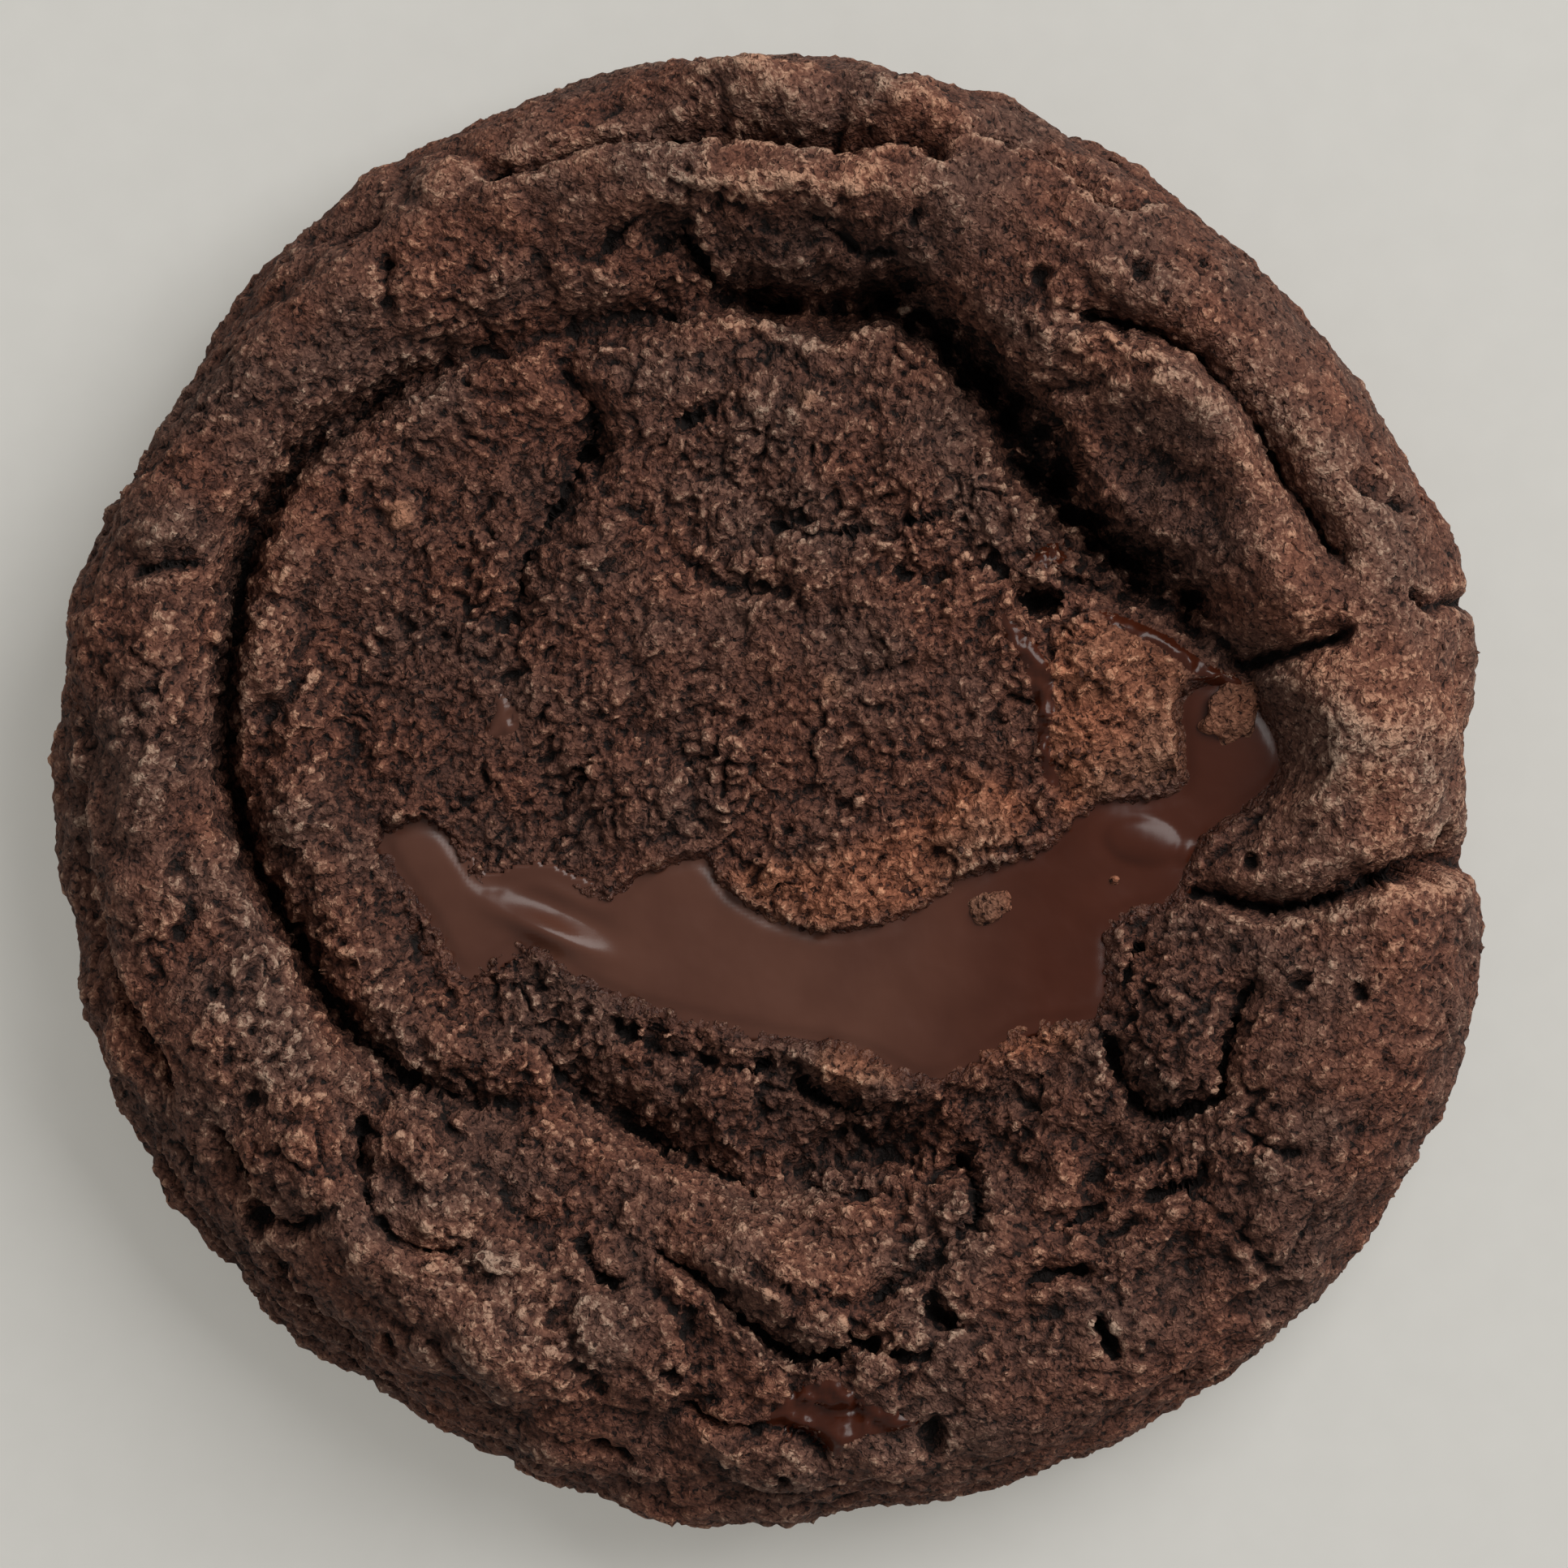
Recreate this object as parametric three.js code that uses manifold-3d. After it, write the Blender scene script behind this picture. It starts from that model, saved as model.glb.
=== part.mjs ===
// Double chocolate cookie: one thick round biscuit with a rolled rim, a moat inside the rim, folds and
// cracks, and a shallow centre that holds a pool of melted chocolate, a smaller patch and two flecks.
// Millimetres, +Z up. The origin is on the table, under the middle of the cookie.
import * as THREE from 'three';
import { mergeVertices } from 'three/addons/utils/BufferGeometryUtils.js';
import { ImprovedNoise } from 'three/addons/math/ImprovedNoise.js';
import Module from 'manifold-3d';

// ---- driving dimensions -------------------------------------------------------------------------

const CENTRE_HEIGHT = 11.4;        // top of the centre plate above the table
const WIDEST_HEIGHT = 5.6;         // height at which the side bulges out furthest
const FOOT_INSET = 2.4;            // how far the flat resting face stays inside the outline
const PRESSED_HEIGHT = 0.3;        // dough lower than this lies pressed flat against the table
const SWELL = [[12, 0.8], [5, 0.5]];   // general unevenness: wavelength, height
const SIDE_SWELL_RANGE = [1, 8];   // heights between which the side takes up the relief of the top

// The wavy crease that runs round the side; its waves: how many go round, height, phase.
const SIDE_CREASE = { height: 7.6, depth: 0.8, halfWidth: 0.9, waves: [[3, 1.2, 0], [7, 0.7, 1]] };

// The centre plate's edge rolls up beside the left moat: height, inset from the rim's foot, half-width, and
// the distances left of the middle over which the roll fades in.
const EDGE_ROLL = { height: 1.3, inset: 3.2, halfWidth: 2.4, fadeIn: [4, 16] };

// The rim, one row every 15 degrees, counter-clockwise from +X: radius of the outline, radius and height
// of the crest, radius of the rim's inner foot, depth and half-width of the moat along that foot, and how
// upright the inner wall stands (0 a gentle slope, 1 a rolled, upright wall).
const RIM_STEP = Math.PI / 12;
const RIM = [
  [42.8, 35.5, 14.0, 31.0, 0.4, 1.0, 1.0],
  [44.0, 37.4, 15.8, 30.0, 1.0, 1.1, 0.9],
  [44.3, 37.6, 16.2, 25.6, 2.6, 1.9, 0.8],
  [44.1, 36.5, 16.4, 25.5, 3.4, 2.0, 0.9],
  [44.6, 36.2, 16.4, 28.0, 3.4, 2.0, 0.9],
  [44.8, 36.4, 16.2, 31.0, 2.8, 1.6, 0.9],
  [45.1, 35.6, 16.0, 29.9, 2.6, 1.4, 0.8],
  [45.1, 36.0, 15.7, 30.0, 2.2, 1.4, 0.7],
  [44.7, 37.4, 15.3, 31.8, 2.0, 1.2, 0.7],
  [44.3, 39.6, 14.9, 36.0, 3.0, 1.0, 0.9],
  [43.8, 39.6, 14.9, 36.3, 4.0, 1.0, 1.0],
  [44.4, 38.6, 15.1, 34.1, 4.2, 1.0, 1.0],
  [44.0, 37.6, 15.2, 32.9, 4.2, 1.0, 1.0],
  [44.0, 36.8, 15.2, 30.8, 4.2, 1.0, 1.0],
  [44.4, 36.0, 15.1, 29.3, 3.4, 0.9, 0.9],
  [44.6, 35.2, 14.7, 27.0, 1.0, 1.0, 0.5],
  [43.7, 33.6, 14.5, 21.8, 1.3, 1.5, 0.2],
  [44.3, 34.0, 14.3, 22.8, 1.5, 1.4, 0.1],
  [45.1, 35.4, 14.0, 25.0, 1.2, 1.4, 0.1],
  [45.2, 36.4, 14.2, 23.5, 0.8, 1.4, 0.1],
  [45.8, 36.6, 14.5, 24.5, 0.6, 1.4, 0.1],
  [46.1, 37.4, 14.9, 24.5, 0.4, 1.4, 0.2],
  [46.0, 38.4, 15.2, 24.0, 0.5, 1.2, 0.3],
  [45.5, 38.2, 15.4, 25.5, 0.6, 1.0, 0.5],
];

// Folds and cracks, seen from above: the line, the depth and half-width of the crevice, how far the dough
// swells (or sinks) to the left and to the right of the line as one walks along it, and over what reach.
// An open fold keeps its depth to its last point, which lies at the cookie's edge.
const CREVICE_SHARPNESS = 1.5;     // exponent of the crevice's profile
const FOLD_FADE = 2.5;             // length over which a fold rises to its depth at either end
const FOLDS = [
  // ledges of the skirt: left, lower left and top
  { line: [[-42.2, 1], [-41.9, -5.4], [-41.2, -8.3], [-36.4, -18],
    [-33.8, -20.4], [-31.8, -25], [-28.2, -26.6]],
    depth: 2.0, width: 0.8, left: 0.5, right: -0.6, reach: 3 },
  { line: [[-30.6, -27.2], [-30.2, -29.3], [-27, -33.4], [-24.6, -35.2]],
    depth: 1.4, width: 0.8, left: 0.4, right: -0.6, reach: 3 },
  { line: [[-28, 32.6], [-22.6, 35.5], [-15.8, 37.8], [-8.4, 39.6], [-5, 40.1]],
    depth: 2.4, width: 0.9, left: -0.3, right: 0.4, reach: 3 },
  { line: [[-7.4, 39.8], [-3, 40.3], [0.6, 40.1], [4.2, 39.3], [11.6, 38.4]],
    depth: 5.0, width: 1.0, left: 0.3, right: 0.4, reach: 3 },
  { line: [[12, 40.3], [14.9, 39.2], [17.8, 38.3], [19.3, 36.4], [21.2, 35.2], [23.8, 36.2]],
    depth: 2.4, width: 0.9, left: 0.4, right: 0.4, reach: 2.5 },
  // lobes of the upper right rim and the groove that splits it in two ridges
  { line: [[15, 24], [20, 25], [22.5, 25.3], [25.2, 26.2]],
    depth: 1.3, width: 0.9, left: 0, right: 0.5, reach: 2.5 },
  { line: [[17.2, 29.6], [24.8, 26.8], [27.8, 24.7], [29.9, 21.6], [31.2, 19], [36, 12.6]],
    depth: 3.2, width: 1.3, left: 0.4, right: 0.5, reach: 3.5 },
  // the canyon between the centre plate and the upper right rim
  { line: [[-4.2, 30.6], [4.9, 29.2], [7.9, 30.2], [12.4, 26], [16.6, 20.8],
    [20, 15.8], [25.4, 11.9], [28.2, 9.2]],
    depth: 4.0, width: 1.5, left: 0.5, right: 0.2, reach: 3 },
  { line: [[17, 13.4], [22, 11.7], [24.4, 11]], depth: 1.8, width: 0.9, left: 0.2, right: 0.2, reach: 2 },
  // the two cracks that cut the right rim, and the inner edge of the block between them
  { line: [[28, 7.5], [31.9, 8.3], [34.6, 9.5], [38.7, 11.1], [40.4, 11.3], [45, 12]],
    depth: 3.0, width: 0.8, left: 0.4, right: 0.4, reach: 3, open: true },
  { line: [[24.6, -6.5], [28.5, -6.8], [30.3, -7.4], [35.8, -6.1], [41, -5.2], [45.5, -4.6]],
    depth: 4.0, width: 0.8, left: 0.6, right: 0.4, reach: 3.5, open: true },
  { line: [[31, 6.8], [31.9, 3.4], [30.4, 0], [25.2, -5.2]],
    depth: 1.5, width: 0.9, left: 0.5, right: 0, reach: 3 },
  // the round lump at the lower right
  { line: [[23.2, -8.6], [20, -14.2], [23.5, -19.7], [27.2, -19.4], [28.2, -14.8], [30.8, -11.3]],
    depth: 2.4, width: 0.8, left: 0.6, right: 0.2, reach: 3 },
  // short creases of the lower right rim
  { line: [[18, -24.8], [22.8, -22.5]], depth: 1.3, width: 0.8, left: 0.2, right: 0.3, reach: 2 },
  { line: [[16.8, -27.5], [22.6, -25], [28.2, -24.7]],
    depth: 1.4, width: 0.8, left: 0.2, right: 0.4, reach: 2 },
  { line: [[14.8, -30.8], [21, -29.4]], depth: 1.5, width: 0.8, left: 0.3, right: 0.4, reach: 2 },
  { line: [[20, -31.8], [21.5, -35.4]], depth: 2.2, width: 0.8, left: 0.2, right: 0.3, reach: 2 },
  { line: [[27.6, -26], [31.8, -30.4]], depth: 1.4, width: 1.0, left: 0.2, right: 0.3, reach: 2.5 },
  { line: [[28.6, -20.2], [33.4, -21.9]], depth: 1.4, width: 0.8, left: 0.3, right: 0.3, reach: 2 },
  // bottom: the folds that sweep in under the pool
  { line: [[-15.4, -14.4], [-9.6, -20.2], [-4.8, -22.6], [0.4, -25.8]],
    depth: 2.0, width: 1.0, left: 0.3, right: 0.5, reach: 2.5 },
  { line: [[-7, -15], [-2.8, -17.4], [0.6, -17.3]], depth: 1.1, width: 0.9, left: 0.3, right: 0.2, reach: 2 },
  { line: [[1.6, -16.8], [4.8, -19.7], [8.5, -18.8]],
    depth: 2.0, width: 0.9, left: 0.6, right: -0.3, reach: 2 },
  { line: [[0.4, -24.2], [5.5, -25.1], [8.2, -24.8]], depth: 1.4, width: 0.9, left: 0, right: 0.5, reach: 2 },
  { line: [[9.2, -23.6], [13, -24.2], [9.8, -28.9], [5.2, -31.8]],
    depth: 2.0, width: 1.0, left: 0.3, right: 0.4, reach: 2.5 },
  { line: [[-1, -26.4], [2.6, -26.9], [6.4, -28.3]],
    depth: 1.2, width: 0.8, left: 0.3, right: 0.3, reach: 1.8 },
  { line: [[-11.4, -25.8], [-11, -28.6], [-8, -31.4]],
    depth: 1.4, width: 0.8, left: 0.3, right: 0.4, reach: 2 },
  { line: [[-7.6, -27.9], [-1.8, -31.9], [2.4, -34.7], [10.2, -34.2]],
    depth: 2.5, width: 1.0, left: 0.4, right: 0.5, reach: 2.5 },
  { line: [[-6.2, -37.8], [0, -39.2], [4, -41.6]], depth: 2.0, width: 0.8, left: 0.3, right: 0.5, reach: 2 },
  // left: the crack that runs on from the end of the moat, and creases across the rim
  { line: [[-24.4, -19], [-24.9, -23.2], [-23.5, -26.6], [-17, -27.8]],
    depth: 2.0, width: 0.9, left: 0.3, right: 0.4, reach: 3 },
  { line: [[-22.4, 25.4], [-28.4, 19.8]], depth: 1.5, width: 0.9, left: 0.3, right: 0.2, reach: 2.5 },
  { line: [[-39.4, 13], [-34, 13.5]], depth: 1.8, width: 0.8, left: 0.5, right: 0.3, reach: 2 },
  { line: [[-34.6, -17.5], [-27.6, -17.1]], depth: 1.0, width: 0.8, left: 0.2, right: 0.2, reach: 2 },
  { line: [[-23.5, 33.2], [-23.4, 28]], depth: 1.6, width: 0.8, left: -0.2, right: 0.4, reach: 2.5 },
  // the slab that hangs over the top of the centre plate, and the plate's own cracks and soft valley
  { line: [[-5, 35.6], [-3.7, 31.6], [-2.7, 30]],
    depth: 2.5, width: 0.9, left: 0.6, right: -0.5, reach: 2.5 },
  { line: [[-1.6, 14.2], [2.8, 15.6], [7, 16.1], [12, 17.4]],
    depth: 0.9, width: 0.8, left: 0.2, right: 0.3, reach: 2.5 },
  { line: [[6.9, 12.2], [11.6, 13.4], [15.6, 12.4]],
    depth: 1.0, width: 0.8, left: 0.2, right: 0.3, reach: 2.5 },
  { line: [[-13.6, 27.4], [-10.6, 22], [-12.8, 17.4], [-14.6, 12.6], [-18, 10]],
    depth: 1.6, width: 1.6, left: 0.2, right: 0.2, reach: 4 },
];

// Rounded lumps (height above the dough round them) and hollows (a negative height): place, half-lengths
// along and across, turn in degrees, height.
const LUMP_ROUNDNESS = 0.8;        // exponent of the lump's profile
const LUMPS = [
  { at: [8.1, -32.3], half: [2.3, 2.2], turn: 0, height: 1.2 },
  { at: [3.2, -32.8], half: [2.1, 1.8], turn: 0, height: 0.9 },
  { at: [11.8, -31.0], half: [1.8, 1.8], turn: 0, height: 0.8 },
  { at: [5.3, -17.4], half: [3.2, 2.3], turn: -15, height: 0.9 },
  { at: [-7.8, 31.2], half: [3.2, 2.3], turn: 0, height: 1.0 },
  { at: [24.8, -15.2], half: [3.4, 4.4], turn: 10, height: 0.8 },
  { at: [36.8, 1.6], half: [7, 6.4], turn: 90, height: 0.8 },
  { at: [26, 20.4], half: [9, 4.6], turn: -55, height: 0.9 },
  { at: [21.3, 4.8], half: [5.4, 5.2], turn: 40, height: 0.8 },
  { at: [-26.6, -3], half: [4, 8], turn: 15, height: 0.6 },
  { at: [-20.4, -23.2], half: [4.6, 3.6], turn: -30, height: 0.8 },
  { at: [-37.4, 16.6], half: [3.0, 2.6], turn: 0, height: 0.9 },
  { at: [-28.8, -20.8], half: [3.2, 4.2], turn: 10, height: 0.7 },
  { at: [-11, 20.6], half: [1.9, 2.2], turn: 0, height: -1.3 },
  { at: [-23.6, -18.4], half: [1.6, 1.6], turn: 0, height: -1.4 },
  { at: [16.4, 11.5], half: [1.6, 1.6], turn: 0, height: -2.0 },
  { at: [4.5, -22.6], half: [3.4, 2.0], turn: 0, height: -0.8 },
];

// Broad soft rises and hollows of the whole form: place, half-lengths along and across, turn, height.
const FORMS = [
  // the valley under the pool and the terraces of the lower rim
  { at: [3, -20.8], half: [11, 2.8], turn: -4, height: -3.2 },
  { at: [-11, -17.8], half: [5, 2.2], turn: -35, height: -1.8 },
  { at: [-0.5, -29.2], half: [7.5, 3.0], turn: -24, height: 2.8 },
  { at: [-20.5, -31.2], half: [8, 2.8], turn: -32, height: 2.8 },
  { at: [-27, -24.5], half: [5, 2.4], turn: -50, height: 1.4 },
  { at: [12.5, -28], half: [4.2, 3], turn: 30, height: 1.4 },
  { at: [26.5, -28.6], half: [3.6, 3.2], turn: 30, height: -2.2 },
  { at: [21, -22.6], half: [5, 2.2], turn: 25, height: -1.2 },
  // the hollow and the ridges of the upper right rim, and the block between the two cracks
  { at: [25.2, 18.8], half: [4.6, 2.4], turn: -50, height: -3.0 },
  { at: [23.2, 25.4], half: [4.6, 2.0], turn: -25, height: 2.2 },
  { at: [30.8, 12.6], half: [5.2, 2.2], turn: -62, height: 2.0 },
  { at: [37.0, 3.0], half: [5, 4.6], turn: 80, height: 1.0 },
  // the crest along the top, and the skirt's lobes above it
  { at: [-1, 35.6], half: [15, 2.2], turn: -3, height: 1.0 },
  { at: [-1.5, 42.5], half: [5.2, 1.3], turn: -4, height: 2.6 },
  { at: [8.4, 41.2], half: [4.0, 1.3], turn: -16, height: 2.0 },
  // left rim
  { at: [-30, -16], half: [6, 3.0], turn: -62, height: 1.8 },
  { at: [-37.6, 2], half: [12, 2.2], turn: 84, height: 1.2 },
  // centre plate
  { at: [-24.8, -12], half: [2.2, 7], turn: 25, height: 1.0 },
  { at: [-14, -4], half: [6, 5], turn: 20, height: -1.2 },
  { at: [20.5, 5.8], half: [4.5, 3.6], turn: 60, height: 1.0 },
  { at: [6, 12], half: [9, 6], turn: 0, height: 0.9 },
];

// Melted chocolate. Each outline is a closed smooth curve through its points. The pool lies level; the
// patch and the flecks follow the dough that they sit on.
const POOL_LEVEL = 10.3;
const POOL_OUTLINE = [
  [-23.3, -3], [-20.4, -2.4], [-17.4, -6], [-14.1, -5.3], [-9.6, -6.8], [-7.5, -5.2], [-4, -4.5],
  [-2.4, -6.6], [2.6, -8.9], [8.4, -8], [13, -5.2], [16.9, -4], [20, -1.4], [25.4, 0], [25.6, 5.6],
  [28.5, 6.2], [31.3, 1.4], [26.3, -3.2], [24.6, -6.6], [21.2, -7.8], [20.1, -13.6], [15.8, -14.4],
  [10.1, -17.6], [5.7, -15.8], [-1, -14.6], [-9.4, -12.4], [-15.2, -9.5], [-18.4, -11.2], [-20.4, -8],
];
const PATCH_OUTLINE = [
  [2.4, -36.2], [-0.2, -38.6], [3, -39.6], [4.2, -41], [5, -39.9], [9.2, -38.7], [6.1, -37.2], [3.9, -35.8],
];
const LEFT_FLECK_OUTLINE = [[-16.7, 6], [-15, 4.5], [-15.3, 3.4], [-17.4, 3.2], [-16.7, 4.7]];
const RIGHT_FLECK_OUTLINE = [[16, 14.2], [17.5, 15], [18.5, 14.1], [17, 13.5]];
const POOL_THICKNESS = 1.6;
const SPOT_THICKNESS = 1.0;        // patch and flecks
const SPOT_PROUD = 0.35;           // how far patch and flecks stand above the dough
const GAP = 0.3;                   // clearance between chocolate and dough

// How steeply the dough rises from the pool's edge: below the pool, and above it.
const POOL_BANK = { lowSlope: 0.8, highSlope: 1.8, turnFrom: -12, turnTo: -9.5, tilt: 0.25 };

// The soft ridge that runs down the pool's left arm, and the slight waves of its face.
const POOL_FACE = { proud: 0.05, waveHeight: 0.15, wavelength: 7 };
const POOL_RIDGE = { at: [-13.6, -8.7], fall: -0.42, halfLength: 3.4, halfWidth: 0.9, height: 0.45 };

// Shares of the half turn from straight up to straight down at which the form passes the crest of the
// rim, the widest ring and the edge of the flat resting face.
const CREST_POLAR = 0.5;
const WIDEST_POLAR = 0.75;
const FOOT_POLAR = 0.89;
const CENTRE_SPREAD = 0.54;        // how much wider than the rest the cells of the centre plate are

// Facets: cells along the top and bottom and down the side, passes that draw them towards the creases,
// how strongly a crease draws them, and its greatest pull.
const CELLS_ACROSS = 33;
const CELLS_DOWN = 22;
const DRAW_PASSES = 60;
const DRAW_STRENGTH = 2.5;
const CREASE_PULL_REACH = 1.7;
const CREASE_PULL_LIMIT = 3;
const MOAT_PULL = 0.5;             // how strongly the moat draws facets, as a share of its depth
const LINE_STEP = 1;               // length of the straight steps of a smooth line
const SPOT_LINE_STEP = 0.85;       // the same for the small pieces of chocolate
const CHOCOLATE_GRID = 2;          // size of the cells on the chocolate's faces
const ABOVE_ALL = 30;              // a height clear of the whole cookie
const MERGE_DISTANCE = 1e-4;

// ---- small helpers ------------------------------------------------------------------------------

const { clamp, lerp, smoothstep, degToRad } = THREE.MathUtils;
const noise = new ImprovedNoise();

/** Bell curve: 1 at the middle, falling to 1/e at one half-width. */
const bell = (off) => Math.exp(-off * off);

/** Smooth curve through plan points, as a list of short straight steps. */
function smoothLine(points, closed, step) {
  const corners = points.map(([x, y]) => new THREE.Vector3(x, y, 0));
  const curve = new THREE.CatmullRomCurve3(corners, closed, 'centripetal');
  const count = Math.max(3, Math.round(curve.getLength() / step));
  const line = curve.getSpacedPoints(count).map((p) => new THREE.Vector2(p.x, p.y));
  if (closed) line.pop();
  return line;
}

/** Nearest place on a straight step from a to b: distance, share of the step, and its length and course. */
function nearestOnStep(a, b, x, y) {
  const dx = b.x - a.x;
  const dy = b.y - a.y;
  const length = Math.hypot(dx, dy);
  const share = clamp(((x - a.x) * dx + (y - a.y) * dy) / (length * length), 0, 1);
  const distance = Math.hypot(x - a.x - share * dx, y - a.y - share * dy);
  return { distance, share, length, dx, dy };
}

/** Nearest place on a line: distance, positive to the left, and how far along the line it is. */
function nearestOnLine(line, x, y) {
  let best = Infinity;
  let side = 1;
  let along = 0;
  let walked = 0;
  for (let i = 0; i + 1 < line.length; i += 1) {
    const a = line[i];
    const { distance, share, length, dx, dy } = nearestOnStep(a, line[i + 1], x, y);
    if (distance < best) {
      best = distance;
      side = Math.sign(dx * (y - a.y) - dy * (x - a.x)) || 1;
      along = walked + share * length;
    }
    walked += length;
  }
  return { distance: best * side, along, length: walked };
}

/** Distance from a closed outline, negative inside it. */
function outlineDistance(outline, x, y) {
  let best = Infinity;
  let inside = false;
  outline.forEach((b, i) => {
    const a = outline[(i + outline.length - 1) % outline.length];
    const { distance, dx, dy } = nearestOnStep(a, b, x, y);
    best = Math.min(best, distance);
    if ((a.y > y) !== (b.y > y) && x < a.x + (dx * (y - a.y)) / dy) inside = !inside;
  });
  return inside ? -best : best;
}

/** Plan place as shares of a lump's half-lengths along and across its turned axes. */
function onAxes({ at, half, turn }, x, y) {
  const angle = degToRad(turn);
  const along = (x - at[0]) * Math.cos(angle) + (y - at[1]) * Math.sin(angle);
  const across = (y - at[1]) * Math.cos(angle) - (x - at[0]) * Math.sin(angle);
  return [along / half[0], across / half[1]];
}

// ---- the form of the dough ----------------------------------------------------------------------

/** The rim's sizes at one bearing, on a smooth closed curve through the rows of RIM. */
function rimAt(angle) {
  const place = ((angle / RIM_STEP) % RIM.length + RIM.length) % RIM.length;
  const row = Math.floor(place);
  const t = place - row;
  const rows = [-1, 0, 1, 2].map((offset) => RIM[(row + offset + RIM.length) % RIM.length]);
  const [outline, crest, crestHeight, foot, moatDepth, moatWidth, upright] = rows[0].map((_, column) => {
    const [a, b, c, d] = rows.map((values) => values[column]);
    return b + 0.5 * t * (c - a + t * (2 * a - 5 * b + 4 * c - d + t * (3 * (b - c) + d - a)));
  });
  return { outline, crest, crestHeight, foot, moatDepth, moatWidth, upright: clamp(upright, 0, 1) };
}

const folds = FOLDS.map((fold) => {
  const line = smoothLine(fold.line, false, LINE_STEP);
  return { ...fold, line, zone: new THREE.Box2().setFromPoints(line).expandByScalar(2.5 * fold.reach) };
});
const pool = smoothLine(POOL_OUTLINE, true, LINE_STEP);

/** How far a fold runs at full depth: it fades out towards its ends. */
function foldStrength(fold, place) {
  const fade = Math.min(FOLD_FADE, place.length / 3);
  const start = smoothstep(place.along, 0, fade);
  return fold.open ? start : start * smoothstep(place.length - place.along, 0, fade);
}

/** Height that one fold adds: a crevice with swollen or sunken dough on either side. */
function foldRelief(fold, x, y) {
  if (!fold.zone.containsPoint({ x, y })) return 0;
  const place = nearestOnLine(fold.line, x, y);
  const off = Math.abs(place.distance);
  const crevice = -fold.depth * Math.exp(-Math.pow(off / fold.width, CREVICE_SHARPNESS));
  const side = place.distance > 0 ? fold.left : fold.right;
  const shoulder = side * (1 - bell(off / fold.width)) * bell(off / fold.reach);
  return (crevice + shoulder) * foldStrength(fold, place);
}

/** Height that one rounded lump or hollow adds. */
function lumpRelief(lump, x, y) {
  const [along, across] = onAxes(lump, x, y);
  const inside = Math.max(0, 1 - along * along - across * across);
  return lump.height * Math.pow(inside, LUMP_ROUNDNESS);
}

/** Height that one broad soft form adds. */
function formRelief(form, x, y) {
  const [along, across] = onAxes(form, x, y);
  return form.height * bell(along) * bell(across);
}

/** All folds, lumps, broad forms and unevenness at one place. */
function relief(x, y, z) {
  let height = 0;
  for (const fold of folds) height += foldRelief(fold, x, y);
  for (const lump of LUMPS) height += lumpRelief(lump, x, y);
  for (const form of FORMS) height += formRelief(form, x, y);
  for (const [wavelength, swell] of SWELL) {
    height += swell * noise.noise(x / wavelength, y / wavelength, z / wavelength);
  }
  return height;
}

/** The highest that the dough may stand at a place near the pool. */
function poolBank(x, y) {
  const { lowSlope, highSlope, turnFrom, turnTo, tilt } = POOL_BANK;
  const above = smoothstep(y - tilt * Math.max(0, x), turnFrom, turnTo);
  return POOL_LEVEL + lerp(lowSlope, highSlope, above) * Math.max(0, outlineDistance(pool, x, y));
}

/** Height of the dough inside the crest: the centre plate, the moat and the rim's inner wall. */
function innerHeight(x, y, rim) {
  const radius = Math.hypot(x, y);
  const climb = clamp((radius - rim.foot) / (rim.crest - rim.foot), 0, 1);
  const rolled = Math.sqrt(1 - (1 - climb) ** 2);
  const wall = lerp(smoothstep(climb, 0, 1), rolled, rim.upright);
  const offFoot = Math.abs(radius - rim.foot);
  const moat = rim.moatDepth * Math.exp(-Math.pow(offFoot / rim.moatWidth, CREVICE_SHARPNESS));
  const atLeft = smoothstep(-x, ...EDGE_ROLL.fadeIn);
  const roll = EDGE_ROLL.height * atLeft * bell((rim.foot - EDGE_ROLL.inset - radius) / EDGE_ROLL.halfWidth);
  const height = lerp(CENTRE_HEIGHT, rim.crestHeight, wall) + roll - moat + relief(x, y, 0);
  return Math.min(height, poolBank(x, y));
}

/**
 * The smooth form under the relief, for a direction from the cookie's middle: straight up is the centre
 * of the top. Gives the place, the way that relief pushes it, and the part of the form that it is on.
 */
function basePlace(direction) {
  const angle = Math.atan2(direction.y, direction.x);
  const polar = Math.acos(clamp(direction.z, -1, 1)) / Math.PI;
  const rim = rimAt(angle);
  const footRadius = rim.outline - FOOT_INSET;
  const bearing = new THREE.Vector2(Math.cos(angle), Math.sin(angle));
  const at = (radius, height) => new THREE.Vector3(radius * bearing.x, radius * bearing.y, height);
  if (polar <= CREST_POLAR) {
    const share = polar / CREST_POLAR;
    return { part: 'top', rim, point: at(rim.crest * share * (1 + CENTRE_SPREAD * (1 - share)), 0) };
  }
  if (polar <= WIDEST_POLAR) {
    const tilt = (Math.PI / 2) * (polar - CREST_POLAR) / (WIDEST_POLAR - CREST_POLAR);
    const radius = rim.crest + (rim.outline - rim.crest) * Math.sin(tilt);
    const height = WIDEST_HEIGHT + (rim.crestHeight - WIDEST_HEIGHT) * Math.cos(tilt);
    return { part: 'side', rim, point: at(radius, height), outward: at(Math.sin(tilt), Math.cos(tilt)) };
  }
  if (polar <= FOOT_POLAR) {
    const tilt = (Math.PI / 2) * (polar - WIDEST_POLAR) / (FOOT_POLAR - WIDEST_POLAR);
    const radius = footRadius + FOOT_INSET * Math.cos(tilt);
    return { part: 'side', rim, point: at(radius, WIDEST_HEIGHT * (1 - Math.sin(tilt))), outward: at(1, 0) };
  }
  return { part: 'bottom', rim, point: at(footRadius * (1 - polar) / (1 - FOOT_POLAR), 0) };
}

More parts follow.
